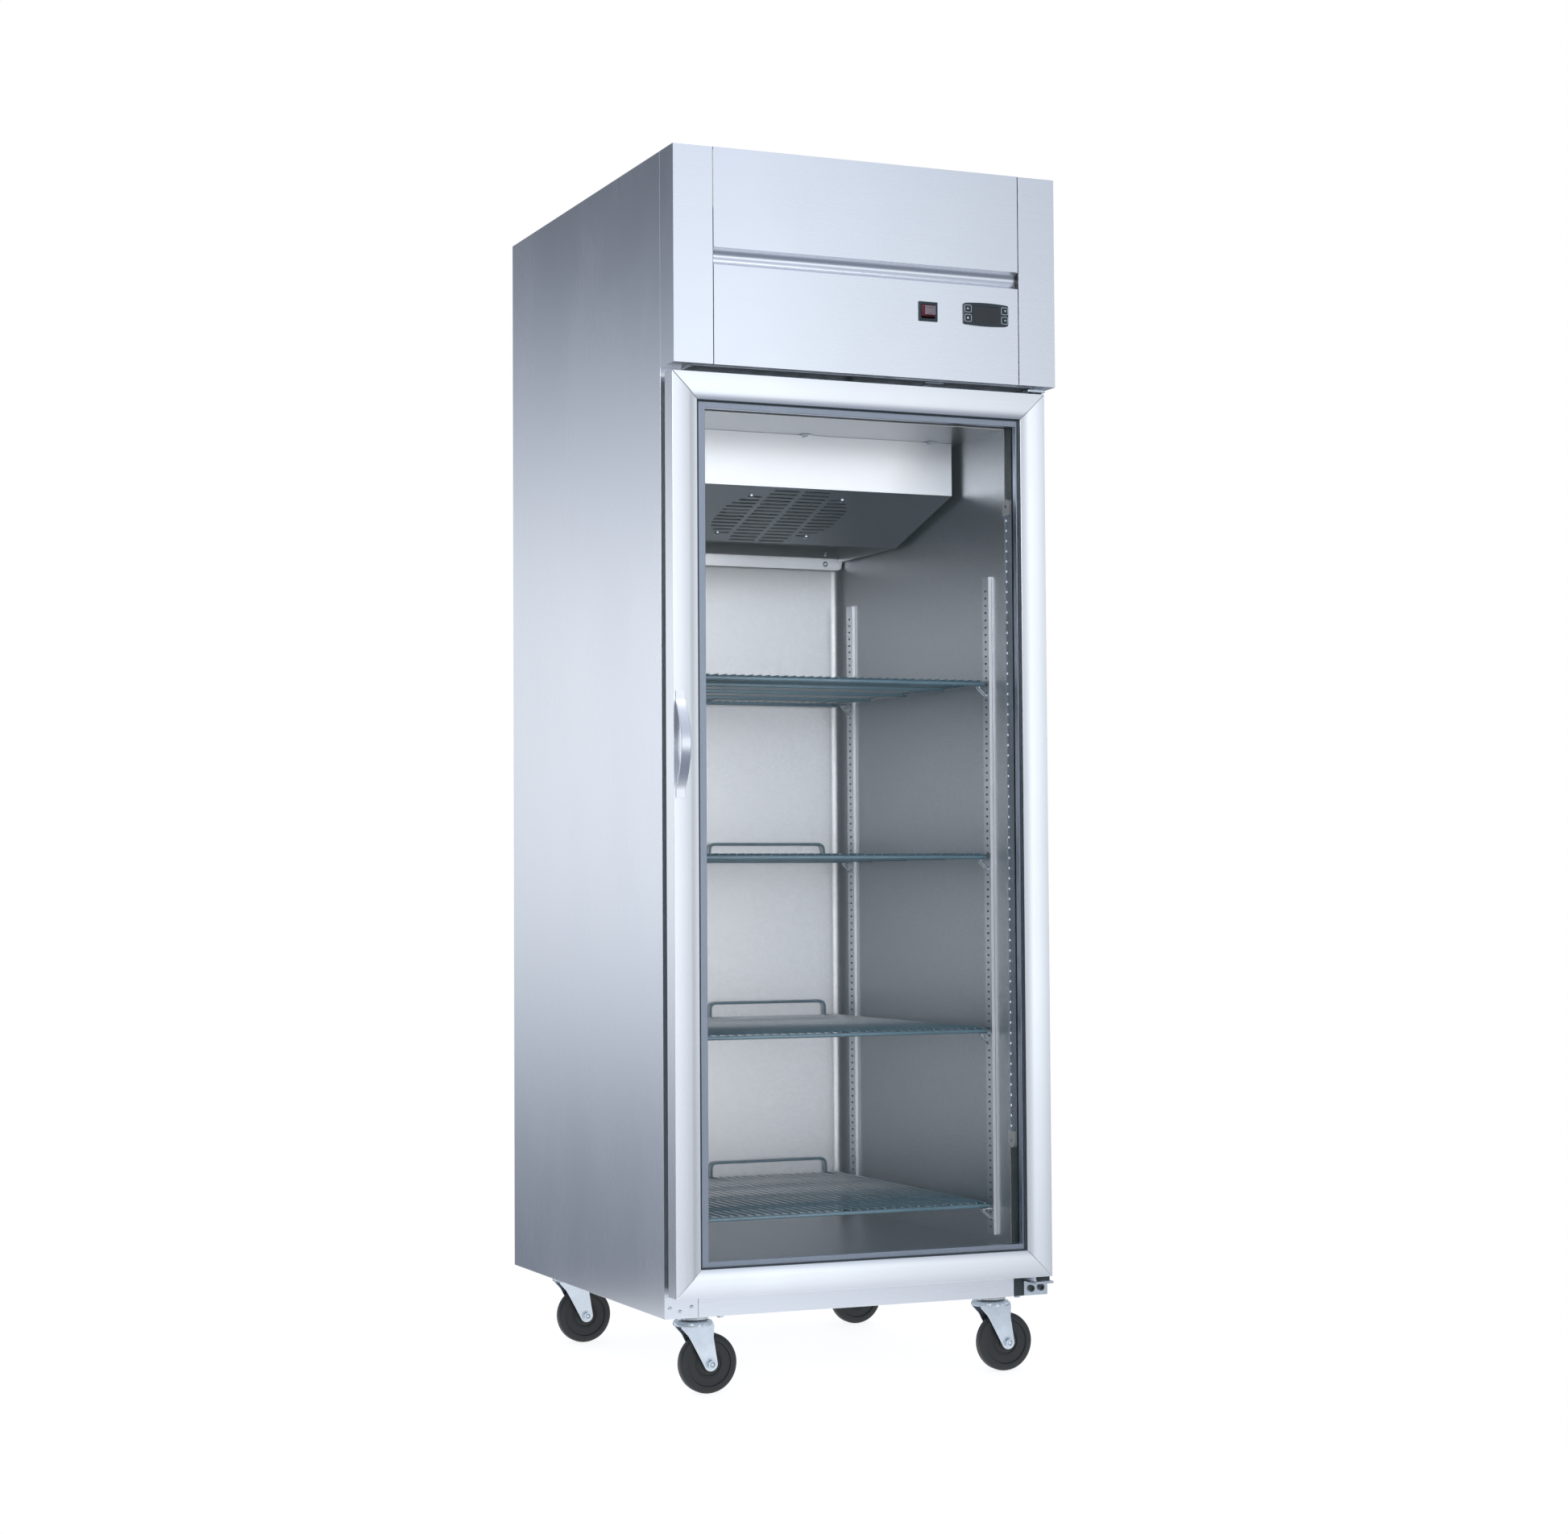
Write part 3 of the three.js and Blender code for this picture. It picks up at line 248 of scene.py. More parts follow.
class Shape:
    """Collects closed solids and turns them into one piece."""

    def __init__(self):
        self.mesh = bmesh.new()

    def add(self, points, faces, place=None):
        place = place or Matrix.Identity(4)
        corners = [self.mesh.verts.new(place @ Vector(p)) for p in points]
        for face in faces:
            self.mesh.faces.new([corners[i] for i in face])
        return self

    def loft(self, rings, place=None, closed=False):
        """Joins equal rings of points; the ends are capped unless the rings close up."""
        count = len(rings[0])
        points = [p for ring in rings for p in ring]
        faces = []
        for r in range(len(rings) if closed else len(rings) - 1):
            here, there = r * count, (r + 1) % len(rings) * count
            for i in range(count):
                j = (i + 1) % count
                faces.append((here + i, here + j, there + j, there + i))
        if not closed:
            faces.append(tuple(reversed(range(count))))
            faces.append(tuple(range(len(points) - count, len(points))))
        return self.add(points, faces, place)

    def box(self, low, high):
        (x0, y0, z0), (x1, y1, z1) = low, high
        ring = [(x0, y0), (x1, y0), (x1, y1), (x0, y1)]
        return self.loft([[(x, y, z) for x, y in ring] for z in (z0, z1)])

    def prism(self, outline, start, end, place):
        """An outline in the local XY plane, extruded along local Z."""
        return self.loft([[(u, v, w) for u, v in outline] for w in (start, end)], place)

    def lathe(self, profile, place, sides=32):
        """A closed (radius, height) profile turned round local Z."""
        rings = []
        for i in range(sides):
            turn = 2 * math.pi * i / sides
            rings.append([(r * math.cos(turn), r * math.sin(turn), h) for r, h in profile])
        return self.loft(rings, place, closed=True)

    def collar(self, outer, inner, start, end, place):
        """The ring between two outlines with as many points, extruded along local Z."""
        levels = ((outer, start), (outer, end), (inner, end), (inner, start))
        return self.loft([[(u, v, w) for u, v in ring] for ring, w in levels], place, closed=True)

    def tube(self, path, radius, sides=10):
        """A round wire or pipe along a list of points, with eased ends."""
        path = [Vector(p) for p in path]
        first, last = (path[1] - path[0]).normalized(), (path[-1] - path[-2]).normalized()
        ease = radius * 0.4
        stations = [(path[0], 0.6), (path[0] + first * ease, 1.0)]
        stations += [(p, 1.0) for p in path[1:-1]]
        stations += [(path[-1] - last * ease, 1.0), (path[-1], 0.6)]
        side = first.orthogonal().normalized()
        rings = []
        for i, (point, scale) in enumerate(stations):
            before = stations[max(i - 1, 0)][0]
            after = stations[min(i + 1, len(stations) - 1)][0]
            along = (after - before).normalized()
            side = (side - along * side.dot(along)).normalized()
            other = along.cross(side)
            rings.append([
                point + (side * math.cos(a) + other * math.sin(a)) * radius * scale
                for a in (2 * math.pi * k / sides for k in range(sides))])
        return self.loft(rings)

    def piece(self, name, look, body, replaces=(), bevel=0.0, smooth=35):
        """Finishes the shape as an object riding on a body, with its look as its material."""
        bmesh.ops.recalc_face_normals(self.mesh, faces=self.mesh.faces)
        data = bpy.data.meshes.new(name)
        self.mesh.to_mesh(data)
        self.mesh.free()
        data.materials.append(LOOKS[look])
        data.polygons.foreach_set("use_smooth", [True] * len(data.polygons))
        data.set_sharp_from_angle(angle=math.radians(smooth))
        thing = place_object(name, data)
        if bevel:
            ease_edges(thing, bevel)
        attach(thing, body)
        if replaces:
            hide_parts(*replaces)
        return thing

    def carve(self, tools):
        """Cuts another shape's solids out of this one."""
        holders = []
        for shape in (self, tools):
            bmesh.ops.recalc_face_normals(shape.mesh, faces=shape.mesh.faces)
            data = bpy.data.meshes.new("carving")
            shape.mesh.to_mesh(data)
            holders.append(place_object("carving", data))
        target, cutter = holders
        boolean = target.modifiers.new("carve", "BOOLEAN")
        boolean.object = cutter
        boolean.solver = "EXACT"
        graph = bpy.context.evaluated_depsgraph_get()
        result = bpy.data.meshes.new_from_object(target.evaluated_get(graph))
        self.mesh.clear()
        self.mesh.from_mesh(result)
        tools.mesh.free()
        for holder in holders:
            data = holder.data
            bpy.data.objects.remove(holder)
            bpy.data.meshes.remove(data)
        bpy.data.meshes.remove(result)
        return self


def ease_edges(thing, width, segments=2):
    bevel = thing.modifiers.new("eased_edges", "BEVEL")
    bevel.width = width
    bevel.segments = segments
    bevel.limit_method = "ANGLE"
    bevel.angle_limit = math.radians(40)
    bevel.harden_normals = True
    return bevel


def frame_of(origin, along, across):
    """A placement whose local Z points along `along` and local X along `across`."""
    z = Vector(along).normalized()
    x = Vector(across).normalized()
    y = z.cross(x)
    turn = Matrix((x, y, z)).transposed().to_4x4()
    return Matrix.Translation(Vector(origin)) @ turn


def rounded(width, height, radius, steps=5):
    """A rectangle about the origin with round corners."""
    outline = []
    for corner, (sx, sy) in enumerate(((1, 1), (-1, 1), (-1, -1), (1, -1))):
        for i in range(steps + 1):
            angle = math.radians(90 * corner + 90 * i / steps)
            outline.append((sx * (width / 2 - radius) + radius * math.cos(angle),
                            sy * (height / 2 - radius) + radius * math.sin(angle)))
    return outline


def circle(radius, sides=24, centre=(0, 0)):
    return [(centre[0] + radius * math.cos(2 * math.pi * i / sides),
             centre[1] + radius * math.sin(2 * math.pi * i / sides)) for i in range(sides)]


def bent(points, radius, steps=5):
    """A path through `points` with its inner corners rounded to `radius`."""
    points = [Vector(p) for p in points]
    path = [points[0]]
    for before, corner, after in zip(points, points[1:], points[2:]):
        into, out = (corner - before).normalized(), (after - corner).normalized()
        reach = radius * math.tan(into.angle(out) / 2)
        start, end = corner - into * reach, corner + out * reach
        for i in range(steps + 1):
            t = i / steps
            path.append(start * (1 - t) ** 2 + corner * 2 * t * (1 - t) + end * t ** 2)
    return path + [points[-1]]


def screw(shape, place, radius, socket=True):
    """A low domed screw head standing on a face, with a hex socket."""
    top = radius * 0.62
    profile = [(0, 0), (radius, 0), (radius, top * 0.35), (radius * 0.86, top * 0.78),
               (radius * 0.6, top)]
    if socket:
        profile += [(radius * 0.48, top), (radius * 0.42, top * 0.4), (0, top * 0.4)]
    else:
        profile += [(0, top * 1.04)]
    inner = radius * 0.02
    shape.lathe([(max(r, inner), h) for r, h in profile], place, 20)


def hexagon(across):
    """A hexagon with `across` between its flats."""
    return circle(across / math.sqrt(3), 6)


def nut_outline(across, sides=24):
    """A hexagon's outline with as many points, at the same turns, as a circle of `sides`."""
    outline = []
    for i in range(sides):
        turn = 2 * math.pi * i / sides
        reach = across / 2 / math.cos((turn + math.pi / 6) % (math.pi / 3) - math.pi / 6)
        outline.append((reach * math.cos(turn), reach * math.sin(turn)))
    return outline


def washer(inner, outer, height):
    """The (radius, height) profile of a flat ring."""
    return [(inner, 0), (outer, 0), (outer, height), (inner, height)]


def mm(pairs):
    """Pairs of millimetres, in metres."""
    return [(first * MM, second * MM) for first, second in pairs]


def spaced(low, high, count):
    """`count` evenly spaced values from `low` to `high`."""
    return [low + (high - low) * i / (count - 1) for i in range(count)]


# ---- carried CAD nodes

ACROSS = {"door_frame_top", "door_frame_bottom", "service_panel", "front_bottom_rail",
          "corner_plate", "header_left_post", "header_right_post"}
EDGE = {"door_frame": 0.7, "side_panel": 0.5, "service_panel": 0.6, "header": 0.6,
        "front_bottom": 0.5, "power_switch": 0.8, "controller_button": 0.5, "lamp_housing": 1.2,
        "hinge_bracket": 0.6, "control_box": 2.0, "glass": 0.6, "back_panel": 0.4}


SMOOTH_BELOW = 32  # degrees between facets


def smooth_by_angle():
    """Welds a CAD node's facets and shades its shallow edges smooth."""
    group = bpy.data.node_groups.new("weld_and_smooth", "GeometryNodeTree")
    for direction in ("INPUT", "OUTPUT"):
        group.interface.new_socket("Geometry", in_out=direction, socket_type="NodeSocketGeometry")
    start = add_node(group, "NodeGroupInput")
    angle = add_node(group, "GeometryNodeInputMeshEdgeAngle").outputs["Unsigned Angle"]
    shallow = add_node(group, "FunctionNodeCompare", {"operation": "LESS_EQUAL"},
                       A=angle, B=math.radians(SMOOTH_BELOW))
    weld = add_node(group, "GeometryNodeMergeByDistance", Geometry=start.outputs[0], Distance=0.01 * MM)
    faces = add_node(group, "GeometryNodeSetShadeSmooth", Geometry=weld.outputs["Geometry"])
    edges = add_node(group, "GeometryNodeSetShadeSmooth", {"domain": "EDGE"},
                     Geometry=faces.outputs["Geometry"], Shade_Smooth=shallow.outputs["Result"])
    end = add_node(group, "NodeGroupOutput")
    group.links.new(edges.outputs["Geometry"], end.inputs[0])
    return group


def dress_cad_nodes():
    slots = {part["node"]: part["material_slot"] for part in frame["record"]["subparts"]}
    group = smooth_by_angle()
    for name, thing in frame["nodes"].items():
        look = slots[name]
        if name in ACROSS:
            look += "_across"
        thing.data.materials.clear()
        thing.data.materials.append(LOOKS[look])
        custom = thing.data.attributes.get("custom_normal")
        if custom:
            thing.data.attributes.remove(custom)
        thing.modifiers.new("weld_and_smooth", "NODES").node_group = group
        for start, width in EDGE.items():
            if start in name:
                ease_edges(thing, width * MM)


# ---- wire shelves

WIRE, BAR, HOOP_WIRE = 1.75 * MM, 3.5 * MM, 2.5 * MM  # radii
WIRES, BARS = 36, 5
HOOP_RISE = 28 * MM  # from the wire tops to the top of the back stops
HOOP = {"inner": 21 * MM, "outer": 258 * MM, "bend": 12 * MM}
SIDE_ROD = {"radius": 2.6 * MM, "beside": 3.2 * MM, "lift": 2 * MM}
SHELF_EDGE = 10 * MM  # from the outermost wires to the bars' ends
CLIP = {"wire": 1.25 * MM, "reach": 19 * MM, "drop": 17 * MM, "half": 4.5 * MM, "hook": 2 * MM,
        "bend": 3 * MM, "brace": 2.4 * MM, "below": 1.7 * MM}


def wire_shelf(number):
    node = f"shelf_{number}"
    low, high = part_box(node)
    top = high.z - HOOP_RISE
    front, back = low.y + BAR, high.y - BAR
    bar_z = top - 2 * WIRE - BAR
    reach = high.x - SHELF_EDGE
    shape = Shape()
    for x in spaced(-reach, reach, WIRES):
        shape.tube([(x, low.y, top - WIRE), (x, 0, top - WIRE), (x, high.y, top - WIRE)], WIRE, 8)
    for y in spaced(front, back, BARS):
        shape.tube([(low.x, y, bar_z), (0, y, bar_z), (high.x, y, bar_z)], BAR, 14)
    for sign in LEFT_RIGHT:
        x, z = sign * (reach + SIDE_ROD["beside"]), bar_z + SIDE_ROD["lift"]
        shape.tube([(x, front, z), (x, back, z)], SIDE_ROD["radius"], 10)
        inner, outer = sign * HOOP["inner"], sign * HOOP["outer"]
        crest = high.z - HOOP_WIRE
        shape.tube(bent([(inner, back, bar_z), (inner, back, crest), (outer, back, crest),
                         (outer, back, bar_z)], HOOP["bend"]), HOOP_WIRE, 12)
    shape.piece(node + "_wires", "coated_wire", node, replaces=[node], smooth=50)


def shelf_clips(number):
    """Four bent double-wire clips hooked into the pilasters under one shelf."""
    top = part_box(f"shelf_{number}")[1].z - HOOP_RISE
    rest = top - 2 * WIRE - 2 * BAR - CLIP["below"]
    wire, reach, low_z = CLIP["wire"], CLIP["reach"], rest - CLIP["drop"]
    shape = Shape()
    for place in CORNERS:
        low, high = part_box(f"pilaster_{place}")
        side = 1 if low.x > 0 else -1
        face = low.x if side > 0 else high.x
        middle = (low.y + high.y) / 2
        hook, tip = face + side * CLIP["hook"], face - side * reach
        for y in (middle - CLIP["half"], middle + CLIP["half"]):
            path = [(hook, y, rest), (tip, y, rest), (face, y, low_z), (hook, y, low_z)]
            shape.tube(bent(path, CLIP["bend"]), wire, 8)
        tip = face - side * (reach - CLIP["brace"])
        past = CLIP["half"] + 0.5 * MM
        shape.tube([(tip, middle - past, rest), (tip, middle + past, rest)], wire, 8)
    shape.piece(f"shelf_{number}_clips", "zinc", "cabinet")


SLOT_PITCH = 12.7 * MM
SLOT_SIZE = (7.5 * MM, 3.4 * MM)


def pilaster(place):
    """A slotted channel: web towards the chamber, two returns to the wall, and a dark strip behind the web that
    paints the shade seen through the slots.
    """
    node = f"pilaster_{place}"
    low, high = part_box(node)
    sheet = 1.2 * MM
    side = 1 if low.x > 0 else -1
    face, wall = (low.x, high.x) if side > 0 else (high.x, low.x)
    web = face + side * sheet
    outline = [(wall, low.y), (face, low.y), (face, high.y), (wall, high.y),
               (wall, high.y - sheet), (web, high.y - sheet), (web, low.y + sheet),
               (wall, low.y + sheet)]
    shape = Shape()
    shape.loft([[(x, y, z) for x, y in outline] for z in (low.z, high.z)])
    cutters = Shape()
    middle = (low.y + high.y) / 2
    count = int((high.z - low.z) / SLOT_PITCH) - 1
    across, tall = SLOT_SIZE
    centre = (face + web) / 2
    for i in range(count):
        z = low.z + SLOT_PITCH * (i + 1)
        cutters.prism(rounded(tall, across, tall * 0.45, 3), -2 * MM, 2 * MM,
                      frame_of((centre, middle, z), X, Z))
    shape.carve(cutters)
    shape.piece(node + "_slotted", "pilaster_steel", "cabinet", [node])
    # painted shade: a black strip inside the channel darkens the slots where shadow falls
    painted_shade_strip = Shape()
    near, far = sorted((web + side * 0.6 * MM, wall - side * 0.4 * MM))
    painted_shade_strip.box((near, low.y + 2 * sheet, low.z + sheet), (far, high.y - 2 * sheet, high.z - sheet))
    painted_shade_strip.piece(node + "_backing", "black_metal", "cabinet")


# ---- evaporator

GRILLE_PITCH, GRILLE_SLOT, GRILLE_RIB = 14.6 * MM, 7.6 * MM, 8 * MM
GRILLE_RADIUS, GRILLE_DEPTH = 122 * MM, 121 * MM  # and its centre's place down the slope
HOUSING = {"face": 93.6 * MM, "slope": 235 * MM, "sheet": 1.5 * MM, "lip": 12 * MM, "hem": 3 * MM}


def slope_of_housing():
    """Front edge, back edge and height of the housing's sloped underside."""
    low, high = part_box("evaporator_housing")
    knee = Vector((0, low.y, high.z - HOUSING["face"]))
    heel = Vector((0, low.y + HOUSING["slope"], low.z))
    return knee, heel


def on_slope(distance_y):
    """A placement on the slope: local X is +X, local Z points up into the housing."""
    knee, heel = slope_of_housing()
    run = heel - knee
    point = knee + run * (distance_y / run.y)
    return frame_of(point, X.cross(run.normalized()), X)


def evaporator_housing():
    """The folded cover with its grille cut through, two end plates, screws and hanger tabs."""
    low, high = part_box("evaporator_housing")
    knee, heel = slope_of_housing()
    sheet, lip, hem = HOUSING["sheet"], HOUSING["lip"], heel.y + HOUSING["hem"]
    inside = knee + Vector((0, sheet, sheet * 0.8))
    outline = [
        (low.y, high.z), (knee.y, knee.z), (heel.y, heel.z), (hem, heel.z + lip),
        (hem - sheet, heel.z + lip), (heel.y - sheet, heel.z + sheet),
        (inside.y, inside.z), (low.y + sheet, high.z)]
    shape = Shape()
    edge = high.x - sheet
    shape.loft([[(x, y, z) for y, z in outline] for x in (-edge, edge)])
    radius = GRILLE_RADIUS
    cutters = Shape()
    place = on_slope(GRILLE_DEPTH)
    rows = int(2 * radius / GRILLE_PITCH)
    for row in range(rows):
        v = (row - (rows - 1) / 2) * GRILLE_PITCH
        chord = math.sqrt(max(radius ** 2 - v ** 2, 0))
        for column in range(-2, 2):
            left = max(column * radius / 2 + GRILLE_RIB / 2, -chord)
            right = min((column + 1) * radius / 2 - GRILLE_RIB / 2, chord)
            if right - left > 2 * GRILLE_SLOT:
                slot = rounded(right - left, GRILLE_SLOT, GRILLE_SLOT * 0.49, 4)
                middle = (left + right) / 2
                cutters.prism([(middle + u, v + w) for u, w in slot], -4 * MM, 4 * MM, place)
    shape.carve(cutters)
    ends = [(low.y, high.z), (knee.y, knee.z), (heel.y, heel.z), (high.y, heel.z), (high.y, high.z)]
    for x in (-high.x, edge):
        shape.loft([[(at, y, z) for y, z in ends] for at in (x, x + sheet)])
    shape.piece("evaporator_cover", "housing_steel", "cabinet",
                ["evaporator_housing"], smooth=25)

    screws = Shape()
    for across in (-87 * MM, 87 * MM):
        for depth in (41 * MM, 201 * MM):
            spot = on_slope(depth) @ Matrix.Translation((across, 0, 0))
            screw(screws, spot @ Matrix.Rotation(math.pi, 4, "X"), 5.5 * MM, False)
    screws.piece("evaporator_screws", "zinc", "cabinet")

    tabs = Shape()
    half, under = 9 * MM, high.z - 1.6 * MM
    for x in (-240 * MM, -2 * MM, 240 * MM):
        tabs.box((x - half, low.y - 13 * MM, under), (x + half, low.y, high.z - 0.4 * MM))
        screw(tabs, frame_of((x, low.y - 7 * MM, under), -Z, X), 3.2 * MM, False)
    tabs.piece("evaporator_hanger_tabs", "zinc", "cabinet")


FIN = {"thick": 0.24 * MM, "inset": 4 * MM}  # one fin, and its edge inside the end plates' edge
END_PLATE = {"thick": 1.5 * MM, "beyond": 6 * MM}
COIL_TUBE = {"radius": 3.6 * MM, "margin": 22 * MM, "column": 0.22, "bend": 0.46}


def finned_coil(name, node, pitch, hairpins, left, right):
    """Thin plates across X with copper hairpins through them and end plates."""
    low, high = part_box(node)
    fins = Shape()
    half, inset = FIN["thick"] / 2, FIN["inset"]
    for i in range(int((right - left) / pitch) + 1):
        x = left + pitch * i
        fins.box((x - half, low.y + inset, low.z + inset), (x + half, high.y - inset, high.z - inset))
    left, right = left - END_PLATE["beyond"], right + END_PLATE["beyond"]
    half = END_PLATE["thick"] / 2
    for x in (left, right):
        fins.box((x - half, low.y, low.z), (x + half, high.y, high.z))
    fins.piece(name, "fins", "cabinet", replaces=[node], smooth=30)
    pipes = Shape()
    z_low, z_high = low.z + COIL_TUBE["margin"], high.z - COIL_TUBE["margin"]
    rise = (z_high - z_low) / (2 * hairpins - 1)
    bend_x, end_x = min(low.x + 2 * MM, left - 3 * MM), right - 20 * MM
    for column in LEFT_RIGHT:
        y = (low.y + high.y) / 2 + column * (high.y - low.y) * COIL_TUBE["column"]
        for row in range(hairpins):
            z = z_low + 2 * row * rise
            path = [(end_x, y, z), (bend_x, y, z), (bend_x, y, z + rise), (end_x, y, z + rise)]
            pipes.tube(bent(path, rise * COIL_TUBE["bend"], 6), COIL_TUBE["radius"], 10)
    pipes.piece(name + "_tubes", "copper", "cabinet", smooth=50)


def rear_rail():
    """A V-bent rail with rounded ends, on which the drain pan hangs."""
    low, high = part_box("evaporator_rear_rail")
    half, height, corner = high.x, (high.z - low.z) / 2, 10 * MM
    middle = (low.z + high.z) / 2
    profile = [
        (high.y, high.z), (low.y + 4 * MM, high.z), (low.y + 0.4 * MM, middle + 1 * MM),
        (low.y + 0.4 * MM, middle - 1 * MM), (low.y + 4 * MM, low.z), (low.y + 5.5 * MM, low.z),
        (low.y + 2 * MM, middle), (low.y + 5.4 * MM, high.z - 1.5 * MM), (high.y, high.z - 1.5 * MM)]
    stations = []
    for angle in spaced(0, math.pi / 2, 7):
        stations.append((half - corner + corner * math.sin(angle), height - corner * (1 - math.cos(angle))))
    stations = [(-x, h) for x, h in reversed(stations)] + stations
    shape = Shape()
    shape.loft([[(x, y, middle + (z - middle) * h / height) for y, z in profile] for x, h in stations])
    shape.piece("evaporator_rail_rounded", "housing_steel", "cabinet",
                ["evaporator_rear_rail"])
    screws = Shape()
    for x in (-257 * MM, 257 * MM):
        for z in (low.z + 11 * MM, low.z + 30 * MM):
            lean = -1 if z < middle else 1
            screw(screws, frame_of((x, low.y + 2.2 * MM, z), (0, -1, lean * 0.2), X), 5 * MM)
    screws.piece("evaporator_rail_screws", "zinc", "cabinet")


# ---- the fans

BLADE = {"stations": 9, "width": 7, "half": 19, "swell": 9, "sweep": 14, "root_pitch": 27,
         "untwist": 11, "camber": 1.4 * MM, "thick": 0.8 * MM, "limit": 10 * MM}  # angles in degrees


def fan_rotor(node, body, look, axis, blades):
    """A hub and swept, twisted blades in the CAD rotor's space."""
    low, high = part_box(node)
    centre = (low + high) / 2
    place = frame_of(centre, axis, X)
    radius = (high.x - low.x) / 2 - 1 * MM
    hub = radius * 0.27
    shape = Shape()
    shape.lathe([(0.1 * MM, -9 * MM), (hub * 0.9, -9 * MM), (hub, -6 * MM), (hub, 9 * MM),
                 (hub * 0.9, 10.5 * MM), (0.1 * MM, 10.5 * MM)], place, 32)
    for blade in range(blades):
        turn = 2 * math.pi * blade / blades
        rings = []
        for t in spaced(0, 1, BLADE["stations"]):
            r = hub - 2 * MM + (radius - hub + 2 * MM) * t
            swell = math.sin(math.pi * min(1.0, t + 0.15))
            half = math.radians(BLADE["half"] + BLADE["swell"] * swell)
            sweep = turn + math.radians(BLADE["sweep"]) * t * t
            pitch = math.tan(math.radians(BLADE["root_pitch"] - BLADE["untwist"] * t))
            top, bottom = [], []
            for s in spaced(-1, 1, BLADE["width"]):
                angle = sweep + half * s
                lift = -s * half * r * pitch * 0.62
                lift = max(-BLADE["limit"], min(BLADE["limit"], lift)) + BLADE["camber"] * (1 - s * s)
                thick = BLADE["thick"] * (1.1 - s * s)
                point = (r * math.cos(angle), r * math.sin(angle))
                top.append((*point, lift + thick))
                bottom.append((*point, lift - thick))
            rings.append(top + bottom[::-1])
        shape.loft(rings, place)
    shape.piece(node + "_swept", look, body, replaces=[node], smooth=50)


# ---- lamp

LAMP_LEDS = 60


def chamber_lamp():
    """A half-round cover over a row of diodes, and the screws of its two end caps."""
    low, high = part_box("lamp_diffuser")
    middle = (low.y + high.y) / 2
    radius = (high.y - low.y) / 2
    depth = (high.x - low.x) * 1.1
    outline = [(high.x, middle - radius)]
    for angle in spaced(0, math.pi, 13):
        outline.append((high.x - 0.6 * MM - depth * math.sin(angle), middle - radius * math.cos(angle)))
    outline.append((high.x, middle + radius))
    shell = Shape()
    shell.loft([[(x, y, z) for x, y in outline] for z in (low.z, high.z)])
    shell.piece("lamp_cover_tube", "lamp_diffuser", "cabinet", replaces=["lamp_diffuser"])
    dies = Shape()
    face = low.x - 0.2 * MM
    thick, wide, tall = 1.1 * MM, 1.4 * MM, 1.6 * MM
    for i in range(LAMP_LEDS):
        z = low.z + (high.z - low.z) * (i + 0.5) / LAMP_LEDS
        dies.box((face - thick, middle - wide, z - tall), (face, middle + wide, z + tall))
    dies.piece("lamp_leds", "led", "cabinet")
    caps = Shape()
    box_low, box_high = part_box("lamp_housing")
    inset = 13 * MM
    for z in (box_low.z + inset, box_high.z - inset):
        screw(caps, frame_of((box_low.x + 0.2 * MM, middle, z), -X, Y), 3 * MM)
    caps.piece("lamp_cap_screws", "zinc", "cabinet")


# ---- door

def door_handle():
    """A flat strap bowed away from the frame between two short feet."""
    low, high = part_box("door_handle")
    foot, thick = 14 * MM, 3 * MM
    depth = high.y - low.y - thick
    span = high.z - low.z - 2 * foot
    steps = 48
    stations = [(high.y, low.z, 0.55)]
    for i in range(steps + 1):
        t = i / steps
        y = high.y - depth * math.sin(math.pi * t) ** 0.9
        stations.append((y, low.z + foot + span * t, 0.55 + 0.45 * math.sin(math.pi * t) ** 0.5))
    stations.append((high.y, high.z, 0.55))
    rings = []
    chamfer = 0.7 * MM
    for i, (y, z, share) in enumerate(stations):
        before, after = stations[max(i - 1, 0)], stations[min(i + 1, len(stations) - 1)]
        along = Vector((0, after[0] - before[0], after[1] - before[1])).normalized()
        out = Vector((0, -along.z, along.y))
        base = Vector((0, y, z))
        t = thick * share
        section = [(low.x, 0), (high.x, 0), (high.x, t - chamfer), (high.x - chamfer, t),
                   (low.x + chamfer, t), (low.x, t - chamfer)]
        rings.append([base + out * v + X * x for x, v in section])
    shape = Shape()
    shape.loft(rings)
    shape.piece("door_handle_strap", "stainless", "door", replaces=["door_handle"], smooth=40)


def sweep_rectangle(shape, low, high, profile):
    """Sweeps a closed (inset, depth) profile round a rectangle in XZ with mitred corners."""
    corners = [(low.x, low.z, 1, 1), (high.x, low.z, -1, 1), (high.x, high.z, -1, -1), (low.x, high.z, 1, -1)]
    rings = [[(x + sx * d, y, z + sz * d) for d, y in profile] for x, z, sx, sz in corners]
    shape.loft(rings, closed=True)


def door_gasket():
    """A soft magnetic seal: dart, bellows and a flat magnet face."""
    low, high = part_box("door_gasket")
    y0, y1 = low.y, high.y
    width = 22 * MM
    deep = y1 - y0
    half = [(0.0, 0.0), (1.5, 0.30), (0.4, 0.45), (0.4, 0.62), (2.2, 0.72), (1.6, 0.86), (2.4, 1.0)]
    left = [(d * MM, y0 + deep * t) for d, t in half]
    right = [(width - d * MM, y0 + deep * t) for d, t in half]
    middle = [(width / 2 + 3 * MM, y1), (width / 2, y1 - 0.8 * MM), (width / 2 - 3 * MM, y1)]
    shape = Shape()
    sweep_rectangle(shape, low, high, left + middle[::-1] + right[::-1])
    shape.piece("door_gasket_bellows", "rubber", "door", replaces=["door_gasket"], smooth=60)


def glass_bead():
    """The dark glazing bead that holds the glass against the frame."""
    low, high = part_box("outer_glass")
    seat = low.y - 0.1 * MM
    front = low.y - 0.65 * MM
    profile = [(0, seat), (0, front), (1.2 * MM, front - 0.3 * MM), (2.2 * MM, seat)]
    shape = Shape()
    sweep_rectangle(shape, low, high, profile)
    shape.piece("outer_glass_bead", "dark_plastic", "door", smooth=40)


# ---- controls

